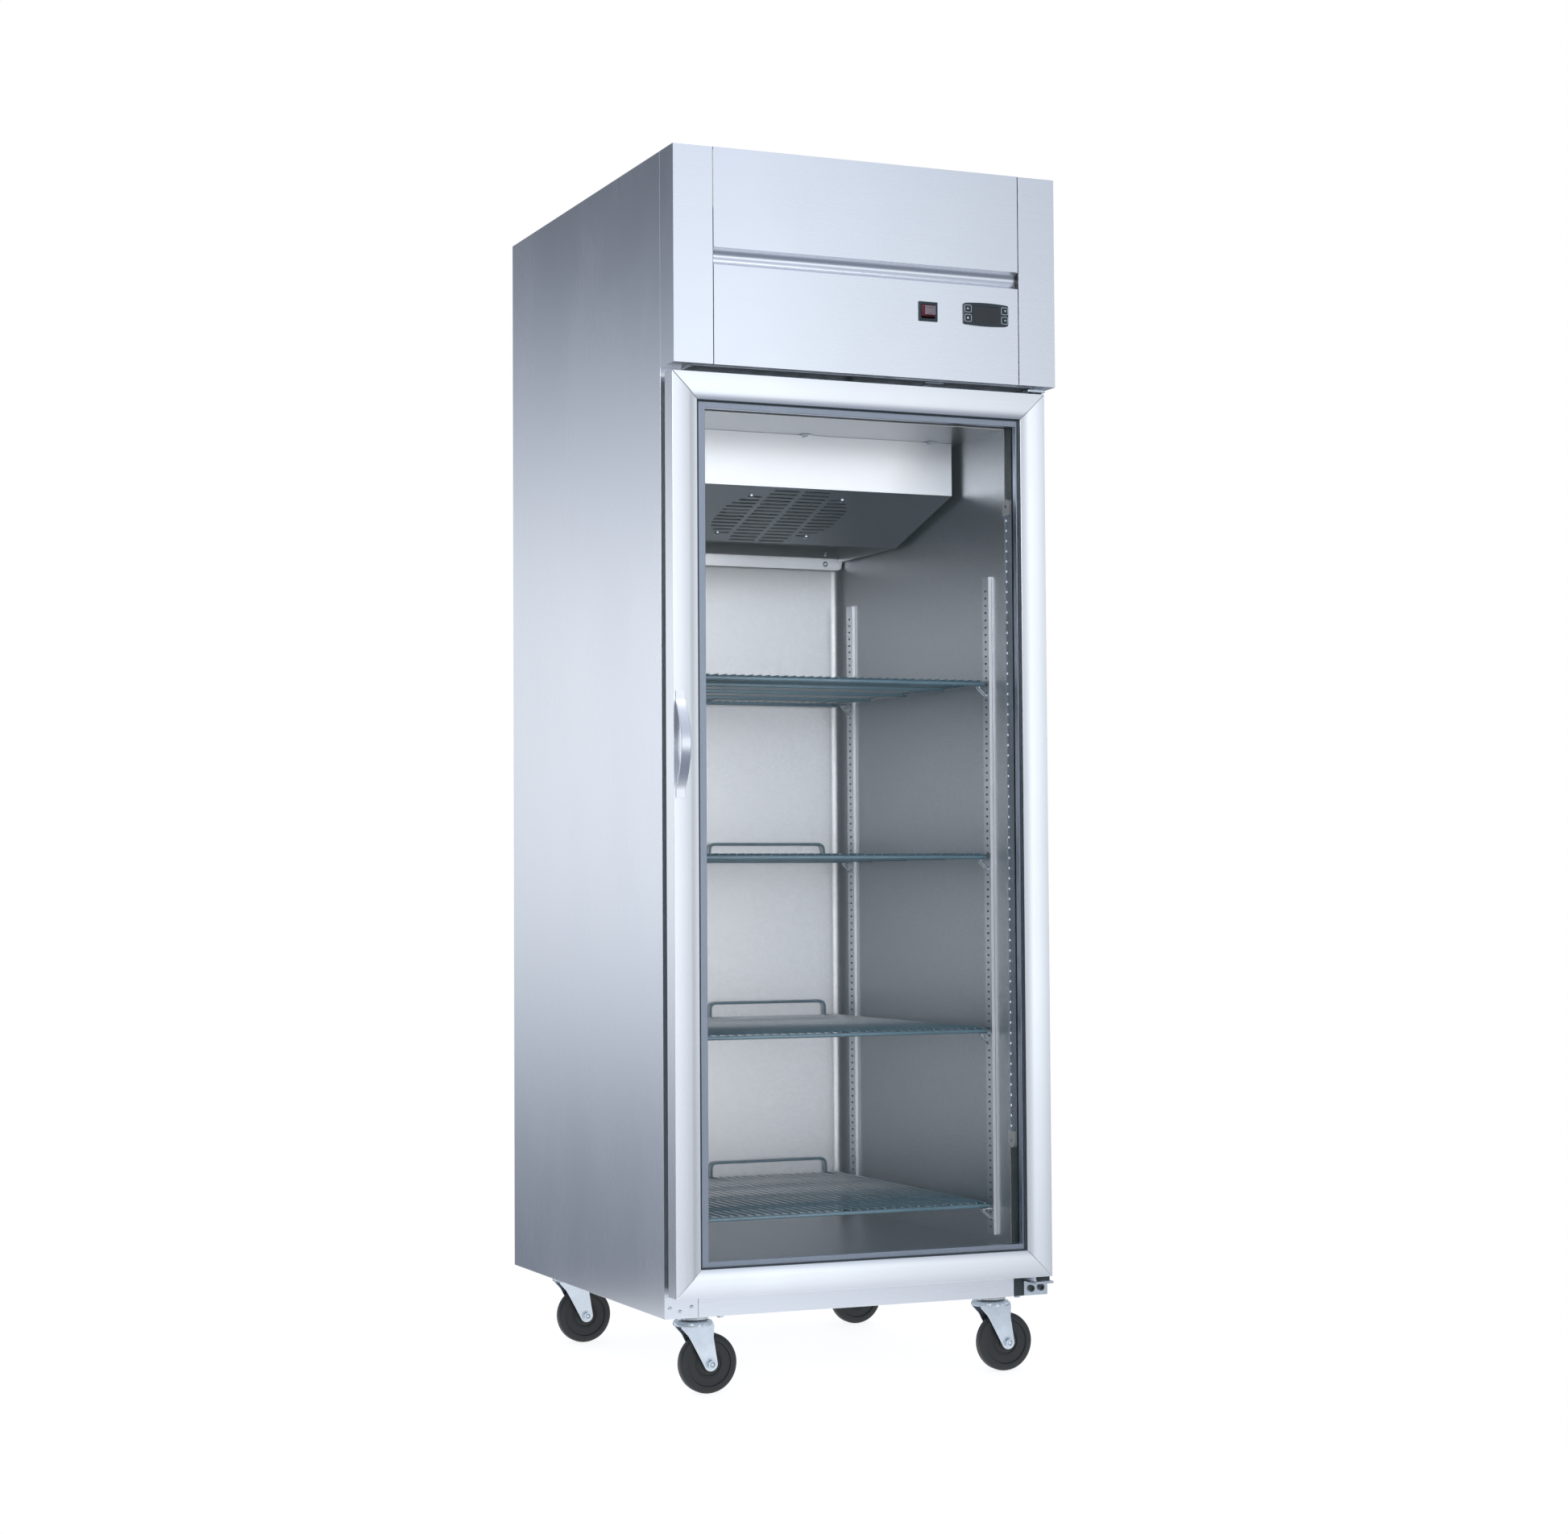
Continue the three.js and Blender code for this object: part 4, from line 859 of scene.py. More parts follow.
CONTROLLER = {"slab": 3.7 * MM, "bulge": 2 * MM, "corner": 3.5 * MM, "body": (71 * MM, 28 * MM)}
WINDOW = (46 * MM, 27 * MM)
OUTLINE = {"size": 12.6 * MM, "line": 0.8 * MM, "proud": 0.15 * MM, "at": (34.6 * MM, 8 * MM)}
BUTTON_MARKS = {  # plain marks, in mm about the button's middle
    1: [(-2.1, -1.4), (2.1, -1.4), (0, 2.2)],
    2: [(-2.1, 1.4), (0, -2.2), (2.1, 1.4)],
    3: circle(1.9, 12),
    4: [(-2.2, -0.7), (2.2, -0.7), (2.2, 0.7), (-2.2, 0.7)],
}


def crowned_outline(half, tall):
    """The controller's front: a rounded rectangle that narrows towards its ends."""
    bulge, corner = CONTROLLER["bulge"], CONTROLLER["corner"]
    outline = []
    for u, v in rounded(2 * half, 2 * tall, corner, 6):
        crown = bulge * (u / half) ** 2
        outline.append((u, v - math.copysign(crown, v) * min(1, abs(v) / (tall - corner))))
    for sign in (1, -1):
        edge = [sign * (half - corner) * (1 - 2 * i / 12) for i in range(1, 12)]
        outline += [(u, sign * (tall - bulge * (u / half) ** 2)) for u in edge]
    return sorted(outline, key=lambda p: math.atan2(p[1] / tall, p[0] / half))


def controller():
    """A crowned panel-mount thermostat with a recessed window and openings for its buttons."""
    low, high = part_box("controller_body")
    middle = (low + high) / 2
    outline = crowned_outline((high.x - low.x) / 2, (high.z - low.z) / 2)
    place = frame_of((middle.x, low.y, middle.z), Y, X)
    shape = Shape()
    shape.prism([(u, -v) for u, v in outline], 0, CONTROLLER["slab"], place)
    shape.prism(rounded(*CONTROLLER["body"], 1 * MM, 2), CONTROLLER["slab"], high.y - low.y, place)
    cutters = Shape()
    cutters.prism(rounded(*WINDOW, 1.5 * MM, 3), -1 * MM, 0.7 * MM, place)
    pad = 0.4 * MM
    for number in BUTTON_MARKS:
        button_low, button_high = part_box(f"controller_button_{number}")
        cutters.box((button_low.x - pad, low.y - 2 * MM, button_low.z - pad),
                    (button_high.x + pad, low.y + 2.6 * MM, button_high.z + pad))
    shape.carve(cutters)
    shape.piece("controller_face", "dark_plastic", "service_panel",
                ["controller_body"], bevel=0.5 * MM)
    window = Shape()
    slack = 0.6 * MM
    pane = rounded(WINDOW[0] - slack, WINDOW[1] - slack, 1.4 * MM, 3)
    window.prism(pane, 0.35 * MM, 0.7 * MM, place)
    window.piece("controller_window", "display", "service_panel")


def controller_prints():
    """The light outline round each button, and a plain mark on it."""
    low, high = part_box("controller_body")
    middle = (low + high) / 2
    size, line = OUTLINE["size"], OUTLINE["line"]
    outer = rounded(size, size, 2.4 * MM, 3)
    inner = rounded(size - 2 * line, size - 2 * line, 1.6 * MM, 3)
    prints = Shape()
    for side in LEFT_RIGHT:
        for level in LEFT_RIGHT:
            spot = (middle.x + side * OUTLINE["at"][0], low.y, middle.z - level * OUTLINE["at"][1])
            prints.collar(outer, inner, 0, -OUTLINE["proud"], frame_of(spot, Y, X))
    prints.piece("controller_outlines", "print", "service_panel", smooth=30)
    for number, mark in BUTTON_MARKS.items():
        button_low, button_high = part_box(f"controller_button_{number}")
        spot = (button_low + button_high) / 2
        glyph = Shape()
        glyph.prism([(u, -v) for u, v in mm(mark)], -0.12 * MM, 0.02 * MM,
                    frame_of((spot.x, button_low.y, spot.z), Y, X))
        glyph.piece(f"controller_mark_{number}", "print", f"controller_button_{number}")


def rocker_cap():
    """The rocker's raised red cap with its smoky face plate and two worn ridges."""
    low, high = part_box("power_switch_rocker")
    middle = (low + high) / 2
    face, side, rim = 1.2 * MM, 2.2 * MM, 2.4 * MM
    front = low.y - 5 * MM
    left, right, bottom, top = low.x + side, high.x - side, low.z + rim, high.z - rim
    cap = Shape()
    cap.box((left, front + face, bottom), (right, low.y + 4 * MM, top))
    cap.piece("power_switch_cap", "red_plastic", "power_switch_rocker", bevel=0.6 * MM)
    plate = Shape()
    plate.box((left, front, bottom), (right, front + face, top))
    half, ridge = 6 * MM, 5 * MM
    for z in (middle.z - ridge, middle.z + ridge):
        plate.tube([(middle.x - half, front, z), (middle.x + half, front, z)], 0.7 * MM, 8)
    plate.piece("power_switch_plate", "rocker_cap", "power_switch_rocker", bevel=0.4 * MM)


# ---- small hardware

CORNER_SCREWS = mm([(9.4, 17.7), (26.9, 11.5), (47.3, 18)])  # from the plate's lower left corner
HINGE_BOLT = mm([(0.1, 0), (6, 0), (6, 3.2), (5.4, 4), (3.2, 4), (3, 1.4), (0.1, 1.4)])
PLUNGER = mm([(0.1, 0), (7, 0), (7, 3), (4, 3.6), (4, 7), (3.2, 8), (0.1, 8)])
CATCH_X, PLUNGER_X = 129 * MM, -10 * MM


def joint_position(name):
    joint = next(j for j in frame["joints"] if j["name"] == name)
    return Vector(joint["pos_m"])


def corner_plate_screws():
    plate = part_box("corner_plate")[0]
    screws = Shape()
    for u, v in CORNER_SCREWS:
        screw(screws, frame_of((plate.x + u, plate.y, plate.z + v), -Y, X), 3.1 * MM, False)
    screws.piece("corner_plate_screws", "zinc", "cabinet")


def hinge_hardware():
    """The lower bracket's bolts, the bushes on both hinge pins and the filler beside the bracket."""
    low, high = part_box("lower_hinge_bracket")
    bolts = Shape()
    inset = 13 * MM
    for x, lift in ((low.x + inset, 12 * MM), (high.x - inset, 13 * MM)):
        bolts.lathe(HINGE_BOLT, frame_of((x, high.y - 3 * MM, low.z + lift), -Y, X), 28)
    bolts.piece("lower_hinge_bolts", "black_metal", "cabinet")

    pin = joint_position("door_hinge")
    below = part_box("door_frame_bottom")[0].z - 8 * MM
    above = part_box("door_frame_top")[1].z + 1.2 * MM
    bushes = Shape()
    for z, height in ((below, 6.8 * MM), (above, 2.6 * MM)):
        place = Matrix.Translation((pin.x, pin.y, z))
        bushes.lathe(washer(9.1 * MM, 11.5 * MM, height), place, 32)
    bushes.piece("hinge_bushes", "dark_plastic", "cabinet")

    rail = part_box("front_bottom_rail")[1]
    filler = Shape()
    filler.box((rail.x + 0.6 * MM, rail.y - 1 * MM, low.z), (low.x - 0.5 * MM, rail.y, rail.z - 6 * MM))
    filler.piece("hinge_side_filler", "dark_plastic", "cabinet", bevel=0.3 * MM)


def header_gap_painted_shade():
    """Dark strips in the gaps between the service panel and the posts, painting the shade that falls in those
    gaps.
    """
    low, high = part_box("service_panel")
    half = 0.6 * MM
    # painted shade: thin dark strips stand in for the shadow in the gaps
    gap_shades = Shape()
    for side in LEFT_RIGHT:
        x = side * (high.x + 0.8 * MM)
        gap_shades.box((x - half, low.y + 2 * MM, low.z + 2 * MM), (x + half, low.y + 14 * MM, high.z - 1 * MM))
    gap_shades.piece("header_gap_painted_shade", "rubber", "cabinet")


def under_header():
    """The catch for the door and the plunger of the door switch, above the opening."""
    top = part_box("service_panel")[0].z - 3.4 * MM
    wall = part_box("breaker_frame")[0].y
    flush = wall - 0.2 * MM
    lip, step, sheet = wall - 44 * MM, wall - 36 * MM, 1.4 * MM
    catch = Shape()
    wide, narrow = 17 * MM, 6 * MM
    catch.box((CATCH_X - wide, lip, top), (CATCH_X + wide, step, top + sheet))
    catch.box((CATCH_X - narrow, step, top), (CATCH_X + narrow, flush, top + sheet))
    catch.box((CATCH_X - narrow, wall - sheet, top - 10.6 * MM), (CATCH_X + narrow, flush, top))
    catch.piece("door_closer_catch", "zinc", "cabinet", bevel=0.4 * MM)
    plunger = Shape()
    plunger.lathe(PLUNGER, frame_of((PLUNGER_X, flush, top - 6.1 * MM), -Y, X), 28)
    plunger.piece("door_switch_plunger", "dark_plastic", "cabinet")


def liner_trim():
    """A thin folded edge over the liner's front, where it meets the breaker strip."""
    low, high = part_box("inner_liner")
    inset, lap = -2.4 * MM, 0.25 * MM
    front, back = low.y - lap, low.y + lap
    shape = Shape()
    sweep_rectangle(shape, low, high, [(inset, front), (0, front), (0, back), (inset, back)])
    shape.piece("liner_trim_edge", "housing_steel", "cabinet")


def floor_screws():
    """Small screws along the front of the chamber floor."""
    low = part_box("inner_liner")[0]
    shape = Shape()
    for x in (-250 * MM, -90 * MM, 90 * MM, 250 * MM):
        spot = (x, low.y + 12 * MM, low.z + 1.1 * MM)
        screw(shape, frame_of(spot, Z, X), 3.4 * MM, False)
    shape.piece("floor_screws", "zinc", "cabinet")


def back_rivets():
    low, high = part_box("back_panel")
    margin, inset = 60 * MM, 14 * MM
    shape = Shape()
    for side in LEFT_RIGHT:
        for z in spaced(low.z + margin, high.z - margin, 9):
            screw(shape, frame_of((side * (high.x - inset), high.y, z), Y, X), 3.4 * MM, False)
    shape.piece("back_panel_rivets", "zinc", "cabinet")


# ---- casters

WHEEL = {"half": 12 * MM, "bore": 5.7 * MM, "hub": 13 * MM, "proud": 2 * MM}
HUB_SIDE = mm([(-1.5, 2), (0, 1), (0.5, -2.5), (7, -3), (8, -1.6), (10, -1.6), (11, -3)])
RIM_SIDE = mm([(-13, -2.6), (-12, -0.4), (-8, 0), (-3.5, -0.8), (-1, -3.2), (0, -7)])
FORK = {"trail": 25 * MM, "crown": 33 * MM, "leg": 2.6 * MM, "inside": 16 * MM, "end": 12 * MM}
CROWN_TOP = mm([(0.1, 0), (18, 0), (21, -1.2), (27, -1.2)])
CROWN_RIM = mm([(-1.5, -3), (0, -6.5), (0, -10.5), (-2.4, -10.5), (-3, -6)])  # about its edge
AXLE = {"bolt": 4.2 * MM, "washer": 9.5 * MM, "nut": 13.2 * MM, "thick": 1.2 * MM}
PLATE_BOLT = {"x": 37 * MM, "y": 29 * MM, "above": 8 * MM}


def caster_wheel(place):
    """A tyre with a raised rim and a dished side, and the ends of its bearing."""
    node = f"caster_wheel_{place}"
    low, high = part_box(node)
    centre = (low + high) / 2
    radius = (high.z - low.z) / 2
    half, bore, hub = WHEEL["half"], WHEEL["bore"], WHEEL["hub"]
    face = half + WHEEL["proud"]
    side = [(bore, face)]
    side += [(hub + r, half + h) for r, h in HUB_SIDE]
    side += [(radius + r, half + h) for r, h in RIM_SIDE]
    tyre = Shape()
    tyre.lathe(side + [(r, -h) for r, h in reversed(side)], frame_of(centre, Y, X), 72)
    tyre.piece(node + "_tread", "rubber", node, replaces=[node], smooth=40)
    bearing = Shape()
    for sign in LEFT_RIGHT:
        end = frame_of(centre + Y * sign * face, Y * sign, X)
        bearing.lathe(washer(bore, bore + 4.5 * MM, 0.5 * MM), end, 32)
    bearing.piece(node + "_bearing", "zinc", node)


def fork_leg(axle_x, axle_z, top):
    """A leg's outline about the swivel: a wide shoulder down to a round end at the axle."""
    shoulder = top - 4.5 * MM
    outline = [(-26 * MM, shoulder), (-27 * MM, shoulder - 8 * MM), (-14 * MM, shoulder - 22 * MM)]
    for angle in spaced(math.radians(215), math.radians(375), 15):
        outline.append((axle_x + FORK["end"] * math.cos(angle), axle_z + FORK["end"] * math.sin(angle)))
    return outline + [(30 * MM, shoulder - 26 * MM), (31 * MM, shoulder - 6 * MM), (29 * MM, shoulder)]


def caster_axle(place, axle, outer):
    """The bolt through wheel and fork, with a washer and a nut or head at each end."""
    bolt = Shape()
    bolt.tube([axle - Y * (outer + 7 * MM), axle, axle + Y * (outer + 4 * MM)], AXLE["bolt"], 20)
    thick = AXLE["thick"]
    for sign, height in ((-1, 5.5 * MM), (1, 4 * MM)):
        face = frame_of(axle + Y * sign * outer, Y * sign, X)
        bolt.lathe(washer(AXLE["bolt"] + 0.1 * MM, AXLE["washer"], thick), face, 32)
        hole = circle(AXLE["bolt"] + 0.05 * MM, 24)
        bolt.collar(nut_outline(AXLE["nut"]), hole, thick, thick + height, face)
    bolt.piece(f"caster_axle_{place}", "zinc", f"caster_swivel_{place}", bevel=0.3 * MM, smooth=35)


def caster_fork(place):
    """A pressed fork: domed crown over two tapering legs, its axle, race and plate bolts."""
    node = f"caster_fork_{place}"
    body = f"caster_swivel_{place}"
    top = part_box(node)[1].z
    wheel_low, wheel_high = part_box(f"caster_wheel_{place}")
    axle = (wheel_low + wheel_high) / 2
    swivel = Vector((axle.x - FORK["trail"], axle.y, 0))
    crown, inside, outer = FORK["crown"], FORK["inside"], FORK["inside"] + FORK["leg"]
    shape = Shape()
    profile = CROWN_TOP + [(crown + r, h) for r, h in CROWN_RIM] + mm([(0.1, -4)])
    shape.lathe(profile, Matrix.Translation((swivel.x, swivel.y, top)), 48)
    leg = fork_leg(axle.x - swivel.x, axle.z, top)
    for sign in LEFT_RIGHT:
        shape.loft([[(swivel.x + u, swivel.y + sign * depth, z) for u, z in leg]
                    for depth in (inside, outer)])
    shape.piece(node + "_pressing", "zinc", body, replaces=[node], bevel=0.7 * MM, smooth=45)
    caster_axle(place, axle, outer)

    race = Shape()
    race.lathe(washer(19 * MM, 24.5 * MM, 2.2 * MM),
               Matrix.Translation((swivel.x, swivel.y, top - 1.1 * MM)), 40)
    race.piece(f"caster_race_{place}", "black_metal", body)

    bolts = Shape()
    plate = swivel + Z * (top + PLATE_BOLT["above"])
    for sx, sy in FOUR_WAYS:
        spot = plate + X * sx * PLATE_BOLT["x"] + Y * sy * PLATE_BOLT["y"]
        bolts.prism(hexagon(10 * MM), 0, 4.5 * MM, frame_of(spot, -Z, X))
    bolts.piece(f"caster_plate_bolts_{place}", "zinc", "cabinet", bevel=0.4 * MM)


# ---- machine compartment

COMPRESSOR = {"radius": 78 * MM, "foot_x": 80 * MM, "foot_y": 62 * MM, "dome": 130 * MM, "rise": 54 * MM}
SHELL_FOOT = mm([(-20, 14), (-8, 18), (0, 28)])  # (radius past the shell's, height)
SHELL_SEAM = mm([(0, 78), (2.5, 79), (2.5, 85), (0, 86)])
RUBBER_FOOT = mm([(4, 0), (13, 0), (11, 4), (13, 8), (4, 8)])
CORE = 0.1 * MM  # the radius at which a solid's profile stops short of its axis


def compressor():
    """A domed shell with its weld seam on a footed plate, and the cover of its terminals."""
    low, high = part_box("compressor")
    centre = (low + high) / 2
    base = low.z
    radius = COMPRESSOR["radius"]
    profile = [(CORE, SHELL_FOOT[0][1])]
    profile += [(radius + r, h) for r, h in SHELL_FOOT + SHELL_SEAM]
    for angle in spaced(0, math.pi / 2, 10):
        reach = max(CORE, radius * max(math.cos(angle), 0) ** 0.8)
        profile.append((reach, COMPRESSOR["dome"] + COMPRESSOR["rise"] * math.sin(angle)))
    shape = Shape()
    shape.lathe(profile, Matrix.Translation((centre.x, centre.y, base)), 56)
    edge = 2 * MM
    shape.box((low.x + edge, low.y + edge, base + 8 * MM), (high.x - edge, high.y - edge, base + 11 * MM))
    feet = [Vector((centre.x + sx * COMPRESSOR["foot_x"], centre.y + sy * COMPRESSOR["foot_y"], base))
            for sx, sy in FOUR_WAYS]
    for foot in feet:
        shape.lathe(RUBBER_FOOT, Matrix.Translation(foot), 24)
    shape.piece("compressor_shell", "black_metal", "cabinet", replaces=["compressor"])
    cover = Shape()
    cover.box((centre.x - 30 * MM, low.y - edge, base + 60 * MM),
              (centre.x + 30 * MM, centre.y - 66 * MM, base + 120 * MM))
    cover.piece("compressor_terminal_cover", "dark_plastic", "cabinet", bevel=3 * MM)
    bolts = Shape()
    for foot in feet:
        bolts.prism(hexagon(11 * MM), 0, 6 * MM, frame_of(foot + Z * 11 * MM, Z, X))
    bolts.piece("compressor_bolts", "zinc", "cabinet", bevel=0.5 * MM)


DRIER = mm([(3.2, -52), (9, -44), (11, -38), (11, 38), (9, 44), (3.2, 52)])
SLEEVE = mm([(4.9, 0), (13, 0), (13, 95), (4.9, 97)])


def refrigerant_lines():
    """Copper discharge, liquid and suction lines, the filter drier and the suction line's sleeve."""
    low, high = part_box("compressor")
    coil_low, coil_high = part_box("condenser_coil")
    middle = (low + high) / 2
    base = low.z
    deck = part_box("machine_deck")[1].z
    lines = Shape()

    port, inlet = base + 110 * MM, base + 240 * MM
    start_x, left = middle.x - 58 * MM, middle.x - 100 * MM
    port_y, front = middle.y + 40 * MM, middle.y - 140 * MM
    right = coil_high.x + 14 * MM
    coil = Vector((coil_high.x - 8 * MM, (coil_low.y + coil_high.y) / 2, 0))
    discharge = [(start_x, port_y, port), (left, port_y, port), (left, front, port),
                 (right, front, inlet), (right, coil.y, inlet), (coil.x, coil.y, inlet)]
    lines.tube(bent(discharge, 22 * MM, 8), 3.2 * MM, 12)

    outlet = base + 34 * MM
    drier = Vector((right + 40 * MM, coil.y + 90 * MM, base + 60 * MM))
    far = drier.y + 190 * MM
    liquid = [(coil.x, coil.y, outlet), (drier.x, coil.y, outlet), tuple(drier),
              (drier.x, far, drier.z), (drier.x, far, deck + 0.5 * MM)]
    lines.tube(bent(liquid, 16 * MM, 8), 3 * MM, 12)

    port = base + 150 * MM
    drop = Vector((middle.x + 20 * MM, middle.y - 190 * MM, deck))
    suction = [(drop.x, middle.y - 60 * MM, port), (drop.x, drop.y, port), (drop.x, drop.y, deck + 0.5 * MM)]
    lines.tube(bent(suction, 26 * MM, 8), 4.6 * MM, 14)
    lines.piece("refrigerant_lines", "copper", "cabinet", smooth=60)

    body = Shape()
    body.lathe(DRIER, frame_of(drier + Y * 90 * MM, Y, X), 28)
    body.piece("filter_drier", "copper", "cabinet", smooth=40)
    sleeve = Shape()
    sleeve.lathe(SLEEVE, Matrix.Translation(drop + Z * 0.6 * MM), 24)
    sleeve.piece("suction_line_insulation", "rubber", "cabinet", smooth=40)


GROMMET = mm([(5, 0), (12, 0), (12, 2), (9, 4), (5, 4)])


def control_box_details():
    """The lid's four screws and the grommet in the cable gland."""
    low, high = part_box("control_box")
    middle = (low + high) / 2
    edge, gland = 12 * MM, 26 * MM
    screws = Shape()
    for x in (low.x + edge, high.x - edge):
        for y in (low.y + edge, high.y - gland - edge):
            screw(screws, frame_of((x, y, high.z), Z, X), 3.6 * MM, False)
    screws.piece("control_box_screws", "zinc", "cabinet")
    grommet = Shape()
    grommet.lathe(GROMMET, frame_of((middle.x, high.y, middle.z), Y, X), 32)
    grommet.piece("control_box_grommet", "rubber", "cabinet")


# ---- camera and studio

# (place, brightness): heights from straight down to straight up, then left to right
HORIZON_BAND = [(0.0, 0.55), (0.36, 0.5), (0.42, 0.12), (0.455, 0.18), (0.48, 0.7), (0.5, 0.95),
                (0.55, 1.0), (0.57, 0.62), (0.59, 0.3), (0.61, 0.05), (0.64, 0.1), (0.72, 0.5),
                (1.0, 0.9)]
SIDE_FALLOFF = [(0.0, 0.9), (0.2, 1.3), (0.3, 1.4), (0.35, 0.75), (0.5, 0.75), (1.0, 0.9)]
FRONT_SCREEN = [(0.0, 0.5), (0.4, 0.7), (0.58, 0.9), (0.66, 1.6), (0.69, 2.1), (0.715, 1.35),
                (0.735, 0.5), (0.77, 0.45), (0.85, 1.0), (0.9, 1.1), (1.0, 0.8)]
FRONT_HEIGHT = [(0.0, 0.15), (0.38, 0.25), (0.42, 0.3), (0.435, 0.5), (0.45, 1.0),
                (0.5, 0.95), (0.57, 1.0), (0.6, 0.85), (0.64, 0.5), (0.75, 0.5), (1.0, 0.7)]


CAMERA = {"place": (-2.0713, -4.871, 0.8319), "yaw": 23.199, "pitch": 2.341, "roll": -0.337,
          "lens": 68.1, "sensor": 36}


def add_camera():
    yaw, pitch, roll = (math.radians(CAMERA[turn]) for turn in ("yaw", "pitch", "roll"))
    level = Vector((math.sin(yaw), math.cos(yaw), 0))
    side = Vector((math.cos(yaw), -math.sin(yaw), 0))
    forward = level * math.cos(pitch) + Z * math.sin(pitch)
    above = Z * math.cos(pitch) - level * math.sin(pitch)
    right = side * math.cos(roll) + above * math.sin(roll)
    up = above * math.cos(roll) - side * math.sin(roll)
    turn = Matrix((right, up, -forward)).transposed().to_4x4()
    data = bpy.data.cameras.new("camera")
    data.lens = CAMERA["lens"]
    data.sensor_width = CAMERA["sensor"]
    data.clip_end = 60
    camera = place_object("camera", data)
    camera.matrix_world = Matrix.Translation(CAMERA["place"]) @ turn
    bpy.context.scene.camera = camera


def add_light(name, location, target, size, power):
    data = bpy.data.lights.new(name, "AREA")
    data.shape = "RECTANGLE"
    data.size, data.size_y = size
    data.energy = power
    light = place_object(name, data)
    aim = Vector(target) - Vector(location)
    light.location = location
    light.rotation_euler = aim.to_track_quat("-Z", "Y").to_euler()
    return data


def ramp_of(tree, value, bands, cool=True):
    """A smooth ramp through (place, brightness) bands, turning blue where it is darker."""
    ramp = add_node(tree, "ShaderNodeValToRGB", Fac=value)
    ramp.color_ramp.interpolation = "EASE"
    stops = ramp.color_ramp.elements
    while len(stops) < len(bands):
        stops.new(0.5)
    for stop, (place, brightness) in zip(stops, bands):
        stop.position = place
        shade = (1 - min(1, brightness)) if cool else 0
        stop.color = (brightness * (0.98 - 0.16 * shade), brightness * (1 - 0.06 * shade),
                      brightness * (1.02 + 0.2 * shade), 1)
    return ramp.outputs["Color"]


def add_world():
    """White where the camera looks past the object. Elsewhere a bright screen stands in
    front, brighter on the left, and a soft horizon band runs round the sides and back."""
    world = bpy.data.worlds.new("studio")
    bpy.context.scene.world = world
    world.use_nodes = True
    tree = world.node_tree
    direction = add_node(tree, "ShaderNodeTexCoord").outputs["Generated"]
    split = add_node(tree, "ShaderNodeSeparateXYZ", Vector=direction)

    def share(axis, low, high):
        return add_node(tree, "ShaderNodeMapRange", Value=split.outputs[axis],
                        From_Min=low, From_Max=high).outputs["Result"]

    def mixed(factor, first, second, blend="MIX"):
        return add_node(tree, "ShaderNodeMix", {"data_type": "RGBA", "blend_type": blend},
                        Factor=factor, A=first, B=second).outputs["Result"]

    def crossed(heights, sideways):
        upright = ramp_of(tree, share("Z", -1, 1), heights)
        return mixed(1, upright, ramp_of(tree, share("X", -1, 1), sideways, False), "MULTIPLY")

    band = crossed(HORIZON_BAND, SIDE_FALLOFF)
    screen = crossed(FRONT_HEIGHT, FRONT_SCREEN)
    around = mixed(share("Y", -0.6, -0.25), screen, band)
    seen = add_node(tree, "ShaderNodeLightPath").outputs["Is Camera Ray"]
    backdrop = mixed(seen, around, (1, 1, 1, 1))
    tree.links.new(backdrop, tree.nodes["Background"].inputs["Color"])


FLOOR = {"reach": 7, "drop": 0.2 * MM, "fade": (0.5, 1.3), "glow": 0.83}


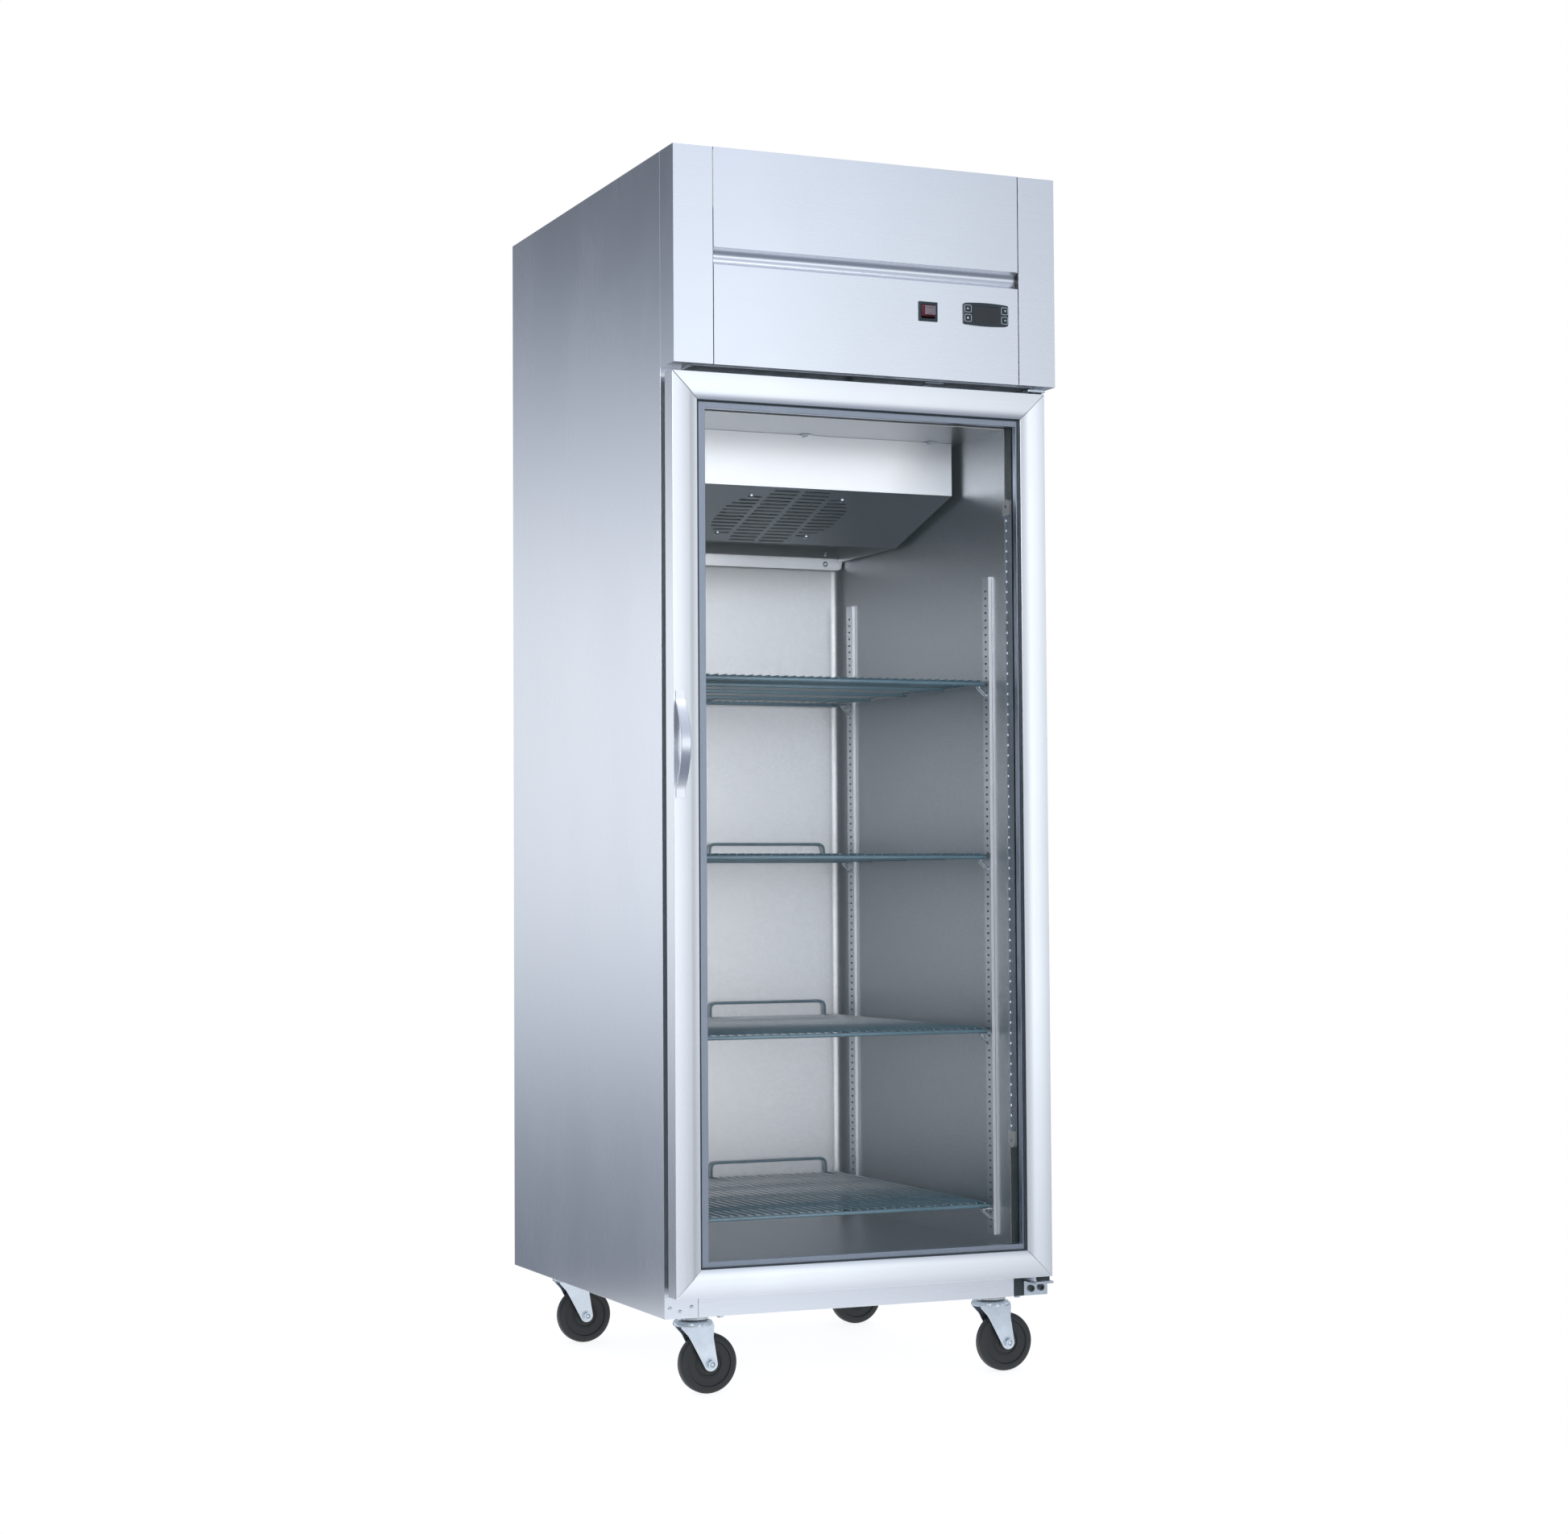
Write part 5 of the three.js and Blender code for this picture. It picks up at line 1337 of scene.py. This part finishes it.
def add_floor():
    """A pale floor that fades out before its edge."""
    data = bpy.data.meshes.new("floor")
    reach = FLOOR["reach"]
    data.from_pydata([(-reach, -reach, 0), (reach, -reach, 0), (reach, reach, 0), (-reach, reach, 0)],
                     [], [(0, 1, 2, 3)])
    floor = place_object("floor", data)
    floor.location.z = -FLOOR["drop"]
    look = Look("pale_floor", (0.3, 0.303, 0.305), 0.6, Emission_Strength=FLOOR["glow"])
    look.shader.inputs["Emission Color"].default_value = (1, 1, 1, 1)
    length = add_node(look.tree, "ShaderNodeVectorMath", {"operation": "LENGTH"})
    look.tree.links.new(look.coordinates, length.inputs[0])
    start, end = FLOOR["fade"]
    fade = add_node(look.tree, "ShaderNodeMapRange", {"interpolation_type": "SMOOTHSTEP"},
                    Value=length.outputs["Value"], From_Min=start, From_Max=end, To_Min=1, To_Max=0)
    look.drive("Alpha", fade.outputs["Result"])
    data.materials.append(look.material)


LIGHT_AIM = (0, 0, 1.1)
LIGHTS = {  # place, size, power
    "key": ((-2.4, -3.8, 2.6), (2.4, 2.4), 70),
    "fill": ((3.8, -0.6, 1.8), (1.6, 2.6), 10),
    "top": ((0.4, -0.4, 4.2), (2.4, 2.4), 30),
}
DOORWAY = {"power": 2.0, "spread": 95, "ahead": 4 * MM}


def add_studio():
    """Three soft boxes, and a weak one in the doorway that lights the chamber behind the glass."""
    for name, (place, size, power) in LIGHTS.items():
        add_light(name, place, LIGHT_AIM, size, power)
    low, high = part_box("inner_liner")
    middle = (low + high) / 2
    opening = (high.x - low.x, high.z - low.z)
    place = (0, low.y - DOORWAY["ahead"], middle.z)
    doorway = add_light("doorway", place, middle, opening, DOORWAY["power"])
    doorway.spread = math.radians(DOORWAY["spread"])


# ---- build

add_camera()
add_world()
add_floor()
add_studio()
bpy.context.scene.view_settings.view_transform = "Standard"

dress_cad_nodes()
for shelf in range(1, 5):
    wire_shelf(shelf)
    shelf_clips(shelf)
for corner_name in CORNERS:
    pilaster(corner_name)
    caster_wheel(corner_name)
    caster_fork(corner_name)
evaporator_housing()
rear_rail()
knee_edge, heel_edge = slope_of_housing()
slope_axis = X.cross((heel_edge - knee_edge).normalized())
fan_rotor("evaporator_fan_blade", "evaporator_fan", "dark_plastic", slope_axis, 5)
fan_rotor("condenser_fan_blade", "condenser_fan", "aluminium", Y, 5)
finned_coil("evaporator_fins", "evaporator_coil", 6 * MM, 4, -0.219, 0.219)
coil_left, coil_right = (corner.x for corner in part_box("condenser_coil"))
finned_coil("condenser_fins", "condenser_coil", 4.5 * MM, 5, coil_left + 12 * MM, coil_right - 12 * MM)
compressor()
refrigerant_lines()
control_box_details()
chamber_lamp()
door_handle()
door_gasket()
glass_bead()
controller()
controller_prints()
rocker_cap()
corner_plate_screws()
hinge_hardware()
header_gap_painted_shade()
under_header()
liner_trim()
floor_screws()
back_rivets()
